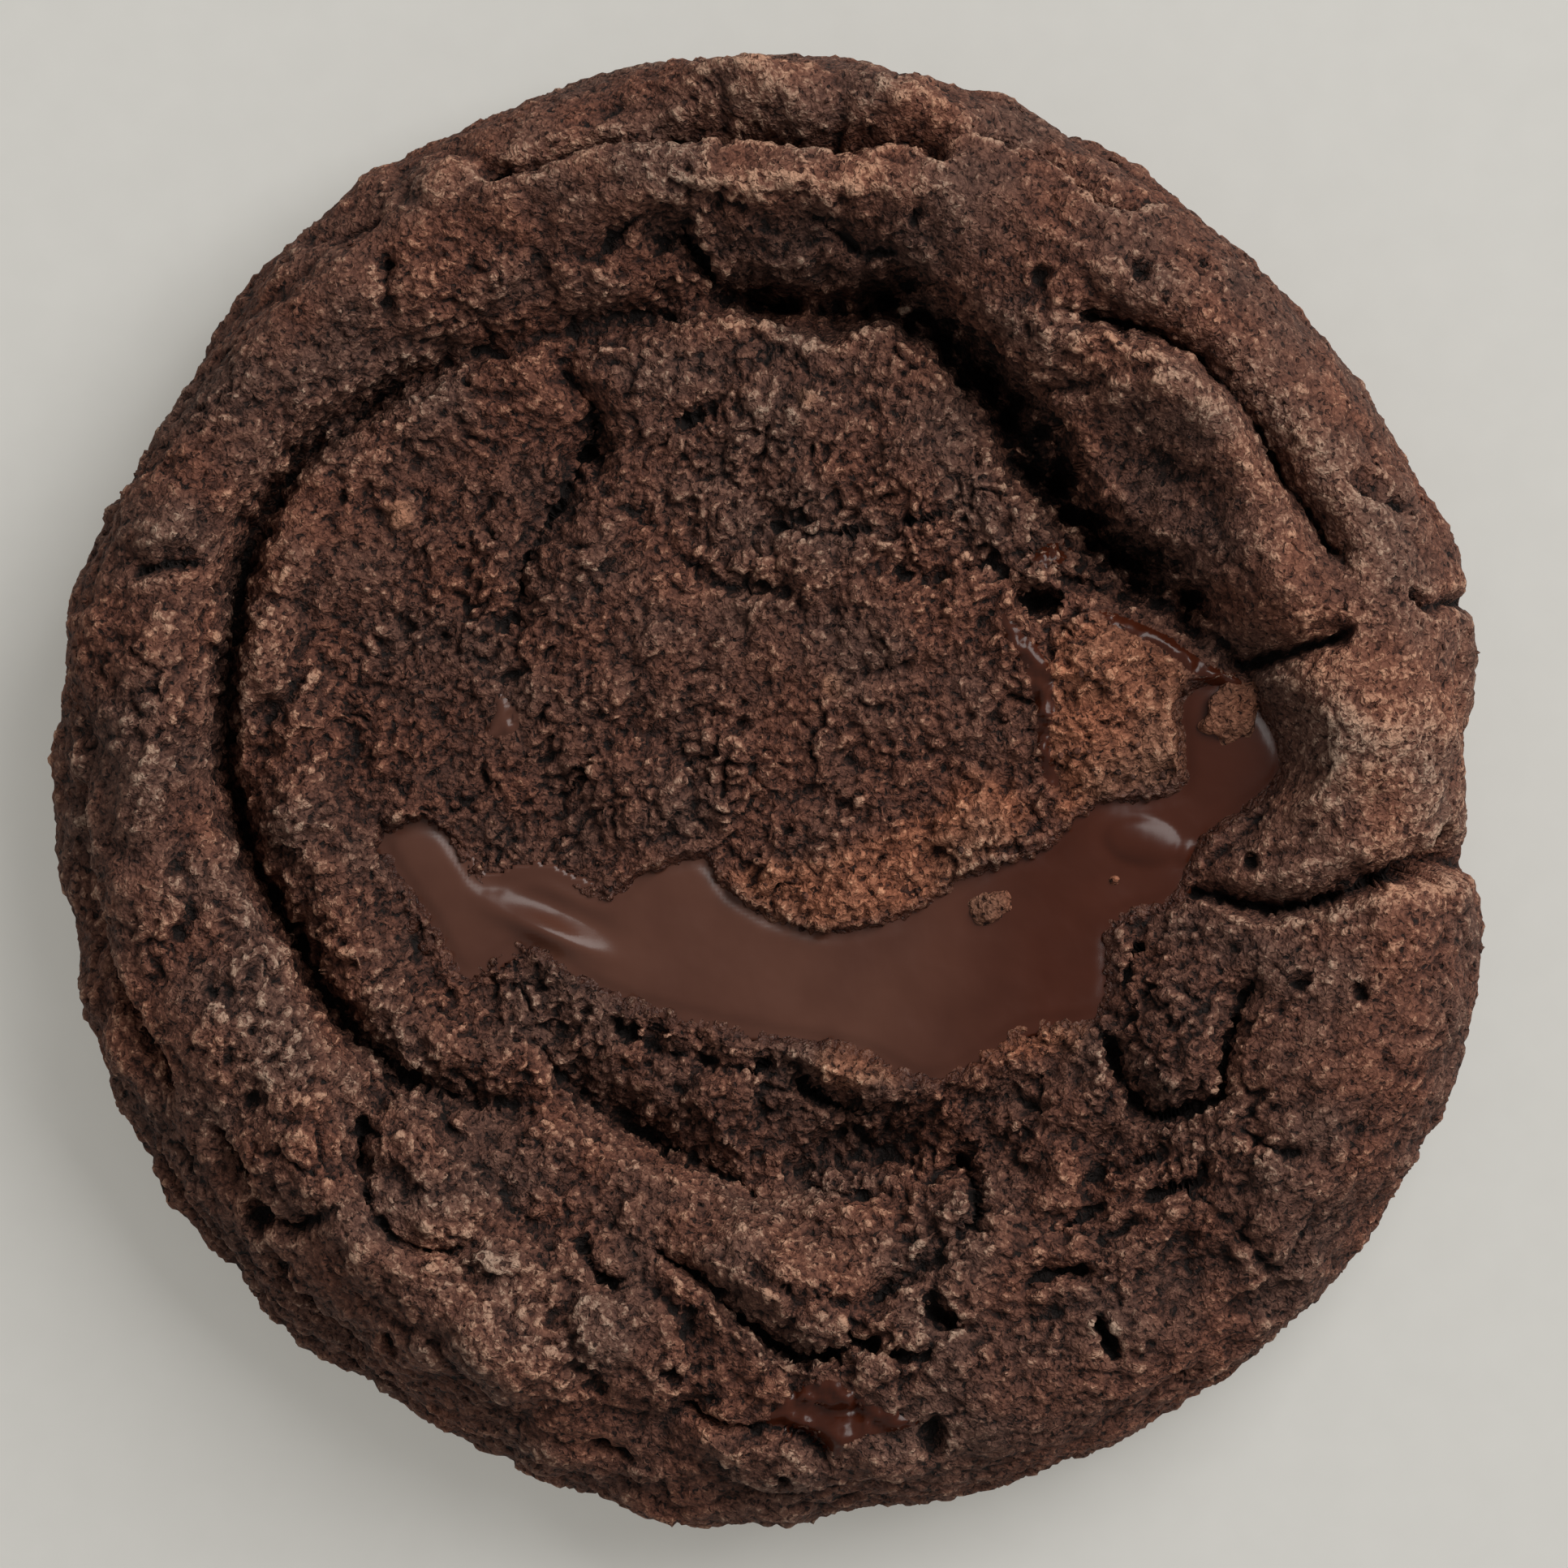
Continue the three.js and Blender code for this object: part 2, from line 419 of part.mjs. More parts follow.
/** Depth of the wavy crease at a place on the side. */
function sideCrease(point) {
  const angle = Math.atan2(point.y, point.x);
  let middle = SIDE_CREASE.height;
  for (const [count, height, phase] of SIDE_CREASE.waves) middle += height * Math.sin(count * angle + phase);
  return SIDE_CREASE.depth * bell((point.z - middle) / SIDE_CREASE.halfWidth);
}

/** Place on the cookie's surface for a direction from its middle. */
function surfacePoint(direction) {
  const { part, rim, point, outward } = basePlace(direction);
  if (part === 'top') point.z = innerHeight(point.x, point.y, rim);
  if (part === 'side') {
    const swelling = relief(point.x, point.y, point.z) * smoothstep(point.z, ...SIDE_SWELL_RANGE);
    point.addScaledVector(outward, swelling - sideCrease(point));
  }
  if (point.z < PRESSED_HEIGHT) point.z = 0;
  return point;
}

/** How much detail there is near a place, to draw the facets there. */
function creaseAt(direction) {
  const { part, rim, point } = basePlace(direction);
  if (part === 'bottom') return 0;
  const offFoot = Math.hypot(point.x, point.y) - rim.foot;
  let strength = MOAT_PULL * rim.moatDepth * bell(offFoot / CREASE_PULL_REACH);
  for (const fold of folds) {
    if (!fold.zone.containsPoint(point)) continue;
    const place = nearestOnLine(fold.line, point.x, point.y);
    strength += fold.depth * foldStrength(fold, place) * bell(place.distance / CREASE_PULL_REACH);
  }
  return Math.min(strength, CREASE_PULL_LIMIT);
}

/** Moves each corner towards its neighbours, most strongly where they lie at a crease. */
function drawToCreases(directions, neighbours) {
  for (let pass = 0; pass < DRAW_PASSES; pass += 1) {
    const weights = directions.map((direction) => 1 + DRAW_STRENGTH * creaseAt(direction));
    const moved = directions.map((direction, i) => {
      const sum = direction.clone().multiplyScalar(weights[i]);
      for (const j of neighbours[i]) sum.addScaledVector(directions[j], weights[i] + weights[j]);
      return sum.normalize();
    });
    moved.forEach((direction, i) => directions[i].copy(direction));
  }
}

/** For each corner of a mesh, the corners that it shares an edge with. */
function neighboursOf(index, count) {
  const neighbours = Array.from({ length: count }, () => new Set());
  for (let i = 0; i < index.count; i += 3) {
    const triangle = [index.getX(i), index.getX(i + 1), index.getX(i + 2)];
    for (const a of triangle) {
      for (const b of triangle) {
        if (a !== b) neighbours[a].add(b);
      }
    }
  }
  return neighbours;
}

/** A closed rounded mesh of even cells, one corner for each direction, worked into the cookie's form. */
function doughGeometry() {
  const box = new THREE.BoxGeometry(2, 2, 2, CELLS_ACROSS, CELLS_ACROSS, CELLS_DOWN);
  box.deleteAttribute('normal');
  box.deleteAttribute('uv');
  const geometry = mergeVertices(box, MERGE_DISTANCE);
  const position = geometry.getAttribute('position');
  const even = (value) => Math.tan((value * Math.PI) / 4);
  const directions = [];
  for (let i = 0; i < position.count; i += 1) {
    const corner = new THREE.Vector3().fromBufferAttribute(position, i);
    directions.push(new THREE.Vector3(even(corner.x), even(corner.y), even(corner.z)).normalize());
  }
  const index = geometry.getIndex();
  drawToCreases(directions, neighboursOf(index, directions.length));
  const points = directions.map(surfacePoint);
  points.forEach((point, i) => position.setXYZ(i, point.x, point.y, point.z));
  for (let i = 0; i < index.count; i += 6) {          // each cell is split along its shorter diagonal
    const [a, b, d, , c] = index.array.slice(i, i + 6);
    const shorter = points[a].distanceTo(points[c]) < points[b].distanceTo(points[d]);
    if (shorter) index.array.set([a, b, c, a, c, d], i);
  }
  return geometry;
}

// ---- solids -------------------------------------------------------------------------------------

const wasm = await Module();
wasm.setup();

/** A closed mesh as a solid that can be joined and cut. */
function toSolid(source) {
  const bare = source.clone();
  bare.deleteAttribute('normal');
  bare.deleteAttribute('uv');
  const geometry = mergeVertices(bare, MERGE_DISTANCE);
  return new wasm.Manifold(new wasm.Mesh({
    numProp: 3,
    vertProperties: new Float32Array(geometry.getAttribute('position').array),
    triVerts: new Uint32Array(geometry.getIndex().array),
  }));
}

/** A solid back as a mesh. */
function toGeometry(solid) {
  const mesh = solid.getMesh();
  const geometry = new THREE.BufferGeometry();
  geometry.setAttribute('position', new THREE.BufferAttribute(new Float32Array(mesh.vertProperties), 3));
  geometry.setIndex(new THREE.BufferAttribute(new Uint32Array(mesh.triVerts), 1));
  return geometry;
}

/** An upright prism of the outline, grown sideways by a margin, from the table to clear of the cookie. */
function prism(outline, margin) {
  const outward = THREE.ShapeUtils.isClockWise(outline) ? margin : -margin;
  const grown = outline.map((point, i) => {
    const before = outline[(i + outline.length - 1) % outline.length];
    const after = outline[(i + 1) % outline.length];
    const along = after.clone().sub(before).normalize();
    return new THREE.Vector2(point.x - along.y * outward, point.y + along.x * outward);
  });
  const upright = { depth: ABOVE_ALL, bevelEnabled: false };
  return toSolid(new THREE.ExtrudeGeometry(new THREE.Shape(grown), upright));
}

/** A block over the outline's box whose bottom and top faces follow two height functions. */
function block(outline, bottomAt, topAt) {
  const box = new THREE.Box2().setFromPoints(outline).expandByScalar(1);
  const size = box.getSize(new THREE.Vector2());
  const middle = box.getCenter(new THREE.Vector2());
  const cells = [size.x, size.y].map((length) => Math.max(2, Math.round(length / CHOCOLATE_GRID)));
  const geometry = new THREE.BoxGeometry(size.x, size.y, 2, ...cells, 1).translate(middle.x, middle.y, 0);
  const position = geometry.getAttribute('position');
  for (let i = 0; i < position.count; i += 1) {
    const x = position.getX(i);
    const y = position.getY(i);
    position.setZ(i, position.getZ(i) > 0 ? topAt(x, y) : bottomAt(x, y));
  }
  return toSolid(geometry);
}

/** One piece of melted chocolate and the recess that it fills, with the clearance between them. */
function chocolate(outline, topAt, thickness) {
  const body = prism(outline, 0).intersect(block(outline, (x, y) => topAt(x, y) - thickness, topAt));
  const recessFloor = (x, y) => topAt(x, y) - thickness - GAP;
  const recess = prism(outline, GAP).intersect(block(outline, recessFloor, () => ABOVE_ALL - 1));
  return { body, recess };
}

/** The pool's face: level, with the soft ridge that runs down its left arm and slight waves. */
function poolTop(x, y) {
  const along = x - POOL_RIDGE.at[0];
  const across = y - POOL_RIDGE.at[1] - POOL_RIDGE.fall * along;
  const ridge = POOL_RIDGE.height * bell(across / POOL_RIDGE.halfWidth) * bell(along / POOL_RIDGE.halfLength);
  const wave = POOL_FACE.waveHeight * noise.noise(x / POOL_FACE.wavelength, y / POOL_FACE.wavelength, 3);
  return POOL_LEVEL + POOL_FACE.proud + ridge + wave;
}

/** The face of a patch or fleck: a little above the dough that it lies on, inside the crest or outside it. */
function spotTop(x, y) {
  const rim = rimAt(Math.atan2(y, x));
  const radius = Math.hypot(x, y);
  if (radius <= rim.crest) return innerHeight(x, y, rim) + SPOT_PROUD;
  const share = Math.min(1, (radius - rim.crest) / (rim.outline - rim.crest));
  const base = WIDEST_HEIGHT + (rim.crestHeight - WIDEST_HEIGHT) * Math.sqrt(1 - share * share);
  return base + relief(x, y, base) + SPOT_PROUD;
}

const spot = (outline) => chocolate(smoothLine(outline, true, SPOT_LINE_STEP), spotTop, SPOT_THICKNESS);
const pieces = {
  chocolate_pool: chocolate(pool, poolTop, POOL_THICKNESS),
  chocolate_patch: spot(PATCH_OUTLINE),
  chocolate_fleck_left: spot(LEFT_FLECK_OUTLINE),
  chocolate_fleck_right: spot(RIGHT_FLECK_OUTLINE),
};

const doughMaterial = new THREE.MeshStandardMaterial({ color: '#5b3d31', roughness: 0.92, metalness: 0 });
const chocolateMaterial = new THREE.MeshStandardMaterial({ color: '#4a2a20', roughness: 0.38, metalness: 0 });

const cookie = new THREE.Group();

let dough = toSolid(doughGeometry());
for (const [name, { body, recess }] of Object.entries(pieces)) {
  dough = dough.subtract(recess);
  const mesh = new THREE.Mesh(toGeometry(body), chocolateMaterial);
  mesh.name = name;
  cookie.add(mesh);
}
const doughMesh = new THREE.Mesh(toGeometry(dough), doughMaterial);
doughMesh.name = 'cookie';
cookie.add(doughMesh);

export default cookie;
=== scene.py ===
"""Double chocolate cookie: the looks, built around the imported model.

Places and sizes are millimetres in the cookie's own frame, in which the picture's right is +X and its top
is +Y, and they become metres where a mesh is made. The origin is on the table under the cookie's middle.
"""

import math

import bmesh
import bpy
import numpy as np
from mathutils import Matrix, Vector
from mathutils.bvhtree import BVHTree


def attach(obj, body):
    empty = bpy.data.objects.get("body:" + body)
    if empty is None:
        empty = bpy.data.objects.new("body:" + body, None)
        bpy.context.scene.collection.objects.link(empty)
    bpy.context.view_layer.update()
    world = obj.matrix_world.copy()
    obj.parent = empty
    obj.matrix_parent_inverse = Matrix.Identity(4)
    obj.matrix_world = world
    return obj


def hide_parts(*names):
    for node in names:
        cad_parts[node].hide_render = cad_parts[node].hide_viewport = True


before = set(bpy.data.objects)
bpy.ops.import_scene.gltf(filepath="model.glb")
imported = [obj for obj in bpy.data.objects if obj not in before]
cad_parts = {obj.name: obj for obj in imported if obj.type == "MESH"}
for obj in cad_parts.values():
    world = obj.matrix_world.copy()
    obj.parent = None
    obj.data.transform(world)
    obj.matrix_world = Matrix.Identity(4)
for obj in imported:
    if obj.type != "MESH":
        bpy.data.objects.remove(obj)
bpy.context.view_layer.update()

MM = 0.001

# ---- driving sizes: the same form as the solid, with finer folds ----

CENTRE_HEIGHT = 11.4       # top of the centre plate above the table
WIDEST_HEIGHT = 5.6        # height at which the side bulges out furthest
EDGE_ROLL = 1.3            # how far the centre plate's edge rolls up beside the left moat
ROLL_INSET = 3.2           # how far that roll's middle lies inside the moat
ROLL_WIDTH = 2.4           # its half-width
FOOT_INSET = 2.4           # how far the flat resting face stays inside the outline
PORE_DEPTH = 1.3           # depth of a larger pore over its radius

# Layers of unevenness, each a wavelength and a swing.
WARP = ((4, 0.4), (1.5, 0.2), (0.7, 0.1))       # sideways shift of the folds, lumps and pores
FOLD_CHANGE = ((3.2, 0.8), (1.2, 0.4))          # change of a fold's depth along it
WANDER = ((7, 1.1), (2.4, 0.6), (1, 0.7))       # of the moat and of the roll beside it
SWELL = ((12, 0.8), (5, 0.5), (2.4, 0.25))      # height of the surface
ZONE_JITTER = ((2, 0.7), (0.8, 0.4))            # of the borders between colours
POOL_WAVES = ((7, 0.16), (2.5, 0.05))
ISLAND_LUMPS = ((1.3, 0.35), (0.55, 0.16))

# Soft lobes: size, height, depth and half-width of the valleys between them.
LOBES = ((4.8, 1.7, 0.5, 0.7), (2.4, 0.30, 0.10, 0.25))
LOBE_REACH = 32.0          # distance from the middle at which the lobes have their size
LOBE_STRETCH = 1.7         # how much longer than wide the lobes of the rim are

# Crumb. For the clusters and then for the clumps on them: size, how domed they are, how far their heights
# differ and over what width they meet, and depth and half-width of the cracks between them.
CRUMB_LAYERS = ((2.6, 0.20, 0.22, 0.25, 0.5, 0.15), (1.05, 0.24, 0.30, 0.14, 0.20, 0.10))
GRAIN, PORE_CELL = 0.52, 1.25             # sizes of the grains on the clumps and of the cells of the pores

# The rim, one row every 15 degrees, counter-clockwise from +X: radius of the outline, radius and height of
# the crest, radius of the rim's inner foot, depth and half-width of the moat along that foot, and how
# upright the inner wall stands (0 a gentle slope, 1 a rolled, upright wall).
RIM_STEP = math.pi / 12
EDGE_RADIUS = 45           # a line that ends further out than this runs off the right edge
RIM = np.array([
    [42.9, 35.5, 14, 31, 0.2, 1, 1], [44.6, 37.4, 15.8, 30, 1, 1.1, 0.9],
    [44.3, 37.6, 16.2, 25.6, 2.6, 1.9, 0.8], [44.1, 36.5, 16.4, 25.5, 3.4, 2, 0.9],
    [44.6, 36.2, 16.4, 28, 3.4, 2, 0.9], [44.3, 36.9, 16.3, 31, 2.6, 1.5, 0.6],
    [45.1, 37.3, 16.2, 29.9, 1.9, 1.1, 0.2], [45.1, 37.5, 15.9, 30, 1.5, 1.1, 0.15],
    [44.7, 38.2, 15.4, 31.6, 1.6, 1, 0.3], [44.3, 39.4, 14.9, 34, 2.6, 0.8, 0.6],
    [43.5, 39.4, 14.9, 35.5, 4, 0.8, 0.9], [44.4, 38.6, 15.1, 34.1, 4.4, 0.8, 1],
    [43.7, 37.6, 15.2, 32.9, 4.4, 0.8, 1], [43.8, 36.8, 15.2, 30.8, 4.4, 0.8, 1],
    [44.1, 36, 15.1, 29.3, 3.6, 0.8, 0.9], [44.6, 35.2, 14.7, 27, 1, 1, 0.5],
    [43.7, 33.6, 14.5, 21.8, 1.3, 1.5, 0.2], [44.3, 34, 14.3, 22.8, 1.5, 1.4, 0.1],
    [44.8, 35.4, 14, 25, 1.2, 1.4, 0.1], [44.9, 36.4, 14.2, 23.5, 0.8, 1.4, 0.1],
    [45.8, 36.6, 14.5, 24.5, 0.6, 1.4, 0.1], [46.1, 37.4, 14.9, 24.5, 0.4, 1.4, 0.2],
    [46, 38.4, 15.2, 24, 0.5, 1.2, 0.3], [45.5, 38.2, 15.4, 25.5, 0.6, 1, 0.5],
])

# Folds and cracks, seen from above. Each has its depth, on the left and then on the right (as one walks along
# it) how wide the dough rounds down into it and how far that side swells, the half-width of a clean gap at
# its bottom, and the places of its line, x before y. A line that ends past EDGE_RADIUS keeps its full depth
# to the edge.
FOLDS = [
    # ledges of the skirt, from the left over the lower left
    (2.6, 0.9, 0.6, 1.8, 0.2, 0.3, -42.2, 1, -41.9, -5.4, -39.2, -13.2, -36.4, -18, -36, -19.8),
    (2.6, 0.9, 0.5, 1.8, 0.2, 0.35, -33.8, -20.4, -32.4, -22.8, -31.8, -25),
    (1.4, 1.6, 0.4, 1, 0.2, 0.2, -31.6, -25.2, -29.6, -26.7, -25.2, -25),
    (1.8, 1, 0.3, 1.4, 0.5, 0.2, -30.6, -27.2, -29, -31.4, -24.6, -35.2),
    # top skirt: round lumps at the left, then the long fold with its lens-shaped slots
    (1.4, 1.6, 0, 1.2, 0.3, 0, -29, 32.2, -26, 34.2, -22.6, 35.5),
    (0.9, 1, 0.1, 1.2, 0.3, 0, -22.8, 35.6, -19.2, 38.7, -17.6, 38),
    (2.8, 1.6, 0, 0.9, 0.4, 0.4, -17.6, 37.3, -8.4, 39.6, -5, 40.1),
    (5.2, 1.6, 0.3, 0.8, 0.4, 0.8, -7.4, 39.8, 0.6, 40.1, 6, 38.8),
    (3.8, 1.6, 0.5, 0.7, 0.3, 0.8, 4.2, 41.6, 4.6, 40.1, 9.2, 39.3, 11.6, 38.4),
    (2.6, 2.5, 0.3, 0.8, 0.4, 0.4, 12, 40.3, 17.8, 38.3, 21.2, 35.2, 23.8, 36.2),
    # lobes of the upper right rim and the groove that splits it in two ridges
    (1.1, 1.2, 0.2, 1, 0.3, 0.15, 17, 27.4, 20.8, 28.5, 22.6, 26),
    (1.3, 1.3, 0, 1.2, 0.5, 0, 15, 24, 22.5, 25.3, 25.2, 26.2),
    (3.4, 3.2, 0.4, 1.7, 0.5, 0.22, 17.2, 29.6, 26.4, 26.2, 31.2, 19, 36, 12.6),
    (1.2, 1.1, 0.2, 1, 0.2, 0.1, 35.4, 19, 38.2, 17.5, 40.4, 17.1),
    # the canyon between the centre plate and the upper right rim, and its two ends
    (2, 2, 0.5, 1, 0.2, 1.9, -4.2, 30.6, 4.9, 29.2, 7.9, 30.2, 14.9, 23.3, 20, 15.8, 25.4, 11.9, 28.2, 9.2),
    (1.6, 1.2, 0.2, 0.8, 0.2, 0.6, 17, 13.4, 19.6, 12.4, 24.4, 11),
    # the two cracks that cut the right rim, and the inner edge of the block between them
    (3.2, 2.6, 0.4, 2, 0.4, 0.45, 28, 7.5, 31.9, 8.3, 36.2, 10.2),
    (1.7, 1.2, 0.3, 1.2, 0.3, 0.3, 38.7, 11.1, 39.6, 12, 40.4, 11.3, 45, 12),
    (4, 2.7, 0.6, 1.3, 0.4, 0.38, 24.6, -6.5, 26.8, -6.4, 30.3, -7.4, 39.4, -5.2, 45.5, -4.6),
    (1.6, 1.7, 0.5, 0.8, 0, 0, 31, 6.8, 31.9, 3.4, 30.4, 0),
    # the round lump at the lower right
    (1.6, 1.2, 0.2, 0.8, 0.1, 0.15, 23.2, -8.6, 22.4, -11.2, 21.4, -13),
    (2.6, 2.4, 0.5, 1.2, 0.2, 0.22, 20, -14.2, 23.5, -19.7, 27.8, -18.8, 27.9, -16.8, 29, -13, 30.8, -11.3),
    # short creases of the lower right rim
    (1.3, 1.4, 0.2, 1.3, 0.3, 0.12, 18, -24.8, 22.8, -22.5, 24.8, -22),
    (1.5, 1.3, 0.2, 1.2, 0.4, 0.2, 22.2, -25.5, 25.9, -24.2, 28.2, -24.7),
    (1.2, 1.2, 0.2, 1.2, 0.2, 0.12, 16.8, -27.5, 19.5, -26.3, 21, -25.5),
    (1.1, 1.1, 0.2, 1.1, 0.2, 0.12, 19.6, -28, 21.6, -27.1, 23.2, -25.6),
    (1.5, 1.2, 0.3, 1.3, 0.4, 0.2, 14.8, -30.8, 16.6, -29.7, 21, -29.4),
    (1.3, 0.8, 0.1, 0.9, 0.1, 0.25, 26.3, -24.4, 26.5, -22.2),
    (1.9, 1, 0.2, 0.9, 0.3, 0.3, 20, -31.8, 20.6, -33.8, 21.5, -35.4),
    (1.4, 1.2, 0.2, 1.2, 0.3, 0.15, 27.6, -26, 29.2, -27.3, 31.8, -30.4),
    (1.1, 1, 0.3, 0.9, 0.1, 0.15, 22, -38, 24.1, -36.6, 27.6, -34.9),
    (1.5, 1.2, 0.3, 1, 0.3, 0.1, 28.6, -20.2, 31.8, -22.2, 33.4, -21.9),
    # bottom: folds that sweep in under the pool
    (2, 2.7, 0.3, 1.3, 0.5, 0.1, -15.4, -14.4, -11.8, -18.4, -7, -21.7, -2.2, -23.8, 0.4, -25.8),
    (1.2, 1.3, 0.3, 1.1, 0.2, 0.12, -10.6, -13.4, -8.2, -15.2, -0.6, -17.3, 0.6, -15.8),
    (1.7, 2.2, 0.6, 1.5, -0.3, 0.2, 1.6, -16.8, 3.1, -18.8, 7.8, -19.8, 8.5, -18.6),
    (1.5, 1.6, 0, 1, 0.5, 0.15, 0.4, -24.2, 3, -24.3, 5.5, -25.1, 8.2, -24.8),
    (1.2, 1, 0.3, 1, 0.3, 0.15, -0.2, -26.1, 2.6, -26.7, 6.6, -28.3),
    (2.1, 1.5, 0.3, 1.5, 0.4, 0.15, 9.2, -23.6, 10.6, -23.6, 12.1, -23, 12.6, -26.4, 10.8, -27.6, 9.8, -28.9,
     5.2, -31.8),
    (2.7, 2.4, 0.4, 1.1, 0.5, 0.18, -7.6, -27.9, -4.4, -29.7, 2.4, -34.7, 5.8, -33.4),
    (1.5, 1.1, 0.3, 1, 0.2, 0.12, 5.2, -31.4, 5.6, -33.4, 8.6, -34.7, 10.2, -34.2),
    (1.4, 1.1, 0.3, 1, 0.2, 0.12, 10.2, -30.2, 10.4, -32, 12.8, -32.8),
    (1.4, 1.4, 0.3, 1.3, 0.4, 0.12, -11.4, -25.8, -11, -28.6, -8, -31.4),
    (2.2, 2.2, 0.3, 0.9, 0.5, 0.2, -6.2, -37.8, -2.2, -39.1, 2, -39.2, 4, -41.6),
    (1.1, 1, 0.2, 1, 0.2, 0.1, -11.6, -39.9, -9.6, -41, -7.6, -41.9),
    # left: the crack that runs on from the end of the moat, and creases across the rim
    (1.9, 2.3, 0.3, 1.2, 0.4, 0.15, -24.4, -19, -24.9, -23.2, -23.5, -26.6, -21, -28.2, -17, -27.8),
    (1.1, 1.2, 0.3, 1, 0.2, 0.12, -20.2, -17.1, -18.2, -17.8, -17.2, -19.8),
    (1.5, 1.4, 0.3, 0.9, 0.2, 0.2, -22.4, 25.4, -24.6, 23.4, -28.4, 19.8),
    (1.9, 1.9, 0.5, 1, 0.3, 0.15, -39.4, 13, -36, 13.7, -34, 13.5),
    (1.7, 1.6, -0.2, 0.8, 0.4, 0.25, -23.5, 33.2, -23.1, 30.6, -23.4, 28),
    # the slab that hangs over the top of the centre plate
    (2.7, 0.7, 0.6, 2.5, -0.5, 0.25, -5, 35.6, -4.7, 33.6, -2.7, 30),
    (1.9, 0.8, 0.4, 1.7, -0.4, 0.1, -10.6, 32.6, -8.8, 34.2, -4.8, 35.4),
    (1.7, 1.2, 0.4, 1, 0.2, 0.25, -3, 30.2, -0.6, 30.3, 3, 28.8),
    (1.2, 1.3, 0.1, 1.3, 0.3, 0.1, 2.2, 35.2, 4.4, 33.9, 5.2, 32.9, 7, 32.9, 9, 31.8),
    # the centre plate's cracks, wrinkles and soft valley
    (0.9, 1.6, 0.1, 1.6, 0.3, 0.12, -1.8, 14, 1.2, 15.9, 3, 15.5, 12.4, 17.4),
    (0.8, 1.2, 0.1, 1.2, 0.3, 0.12, -6.4, 14.8, -2.4, 12.3, 0, 12.6, 2.6, 11.1),
    (0.9, 1.4, 0.1, 1.3, 0.3, 0.12, 6.9, 12.2, 8.4, 13.1, 9.6, 12.6, 13, 13.8, 15.6, 12.4),
    (1.12, 1.2, 0.2, 1.1, 0.3, 0.21, -10.3, 28.6, -8.6, 29.1, -5, 28.6),
    (1.05, 1.3, 0.2, 1.1, 0.3, 0.09, -6.8, 22.5, -5, 22.6, -2.2, 23.6),
    (2.1, 2.2, 0.3, 2.4, 0.2, 0.12, -13.6, 27.4, -10.6, 22, -14.2, 15, -15.6, 10.8, -18, 10),
]

# Rounded lumps and, with a negative height, hollows: place, half-lengths along and across, turn in degrees,
# height.
LUMPS = [
    # lower right and bottom
    (8.1, -32.3, 2.3, 2.2, 0, 1.2), (3.2, -32.8, 2.1, 1.8, 0, 0.9), (11.8, -31, 1.8, 1.8, 0, 0.8),
    (-10.2, -32.8, 2.6, 2.3, 0, 0.8), (5.3, -17.4, 3.2, 2.3, -15, 0.9), (11, -25, 1.8, 1.5, 0, 0.7),
    (24.8, -15.2, 3.4, 4.4, 10, 0.8), (7.6, -40.8, 2.2, 1.3, 5, 0.6), (30.4, -31.1, 2.6, 1, 25, -1.3),
    (10, -39.4, 0.9, 1.4, 0, -1.5), (4.5, -22.6, 3.4, 2, 0, -0.8), (1.9, -23.2, 1.1, 0.9, 0, -0.8),
    (25.5, -29.6, 4, 2.4, 30, -0.6),
    # right
    (36.8, 1.6, 7, 6.4, 90, 0.8), (41.6, -4, 1, 1.7, -10, -2.2), (21.3, 4.8, 5.4, 5.2, 40, 0.8),
    (36.7, 18.6, 1.6, 1, -20, -1),
    # upper right and top
    (26, 20.4, 9, 4.6, -55, 0.9), (-20, 37, 2.2, 1.8, 0, 0.8), (-16.4, 35.2, 2.1, 1.6, 0, 0.7),
    (-16.8, 37.7, 1.1, 0.8, 0, -1.6), (-7.8, 31.2, 3.2, 2.3, 0, 1), (-6.4, 33.7, 2, 1.2, 20, -1.2),
    # left
    (-37.4, 16.6, 3, 2.6, 0, 0.9), (-26.4, 30.6, 3.2, 2.6, 0, 0.6), (-28.8, -20.8, 3.2, 4.2, 10, 0.7),
    (-20.4, -23.2, 4.6, 3.6, -30, 0.8), (-35.4, 2.6, 0.8, 1.6, 0, -1), (-31.2, -26.2, 1.1, 1.4, 0, -2),
    (-26.6, -3, 4, 8, 15, 0.6),
    # centre
    (-11, 20.6, 1.9, 2.2, 0, -1.3), (-23.6, -18.4, 1.2, 1.4, 0, -1.6), (16.4, 11.5, 1.3, 1.2, 0, -2.6),
    (-22.4, 16.9, 1.4, 1.2, 70, 0.6), (2.5, 23.9, 0.8, 1, 0, 0.6), (6, 20.6, 8, 4, -25, 0.6),
]

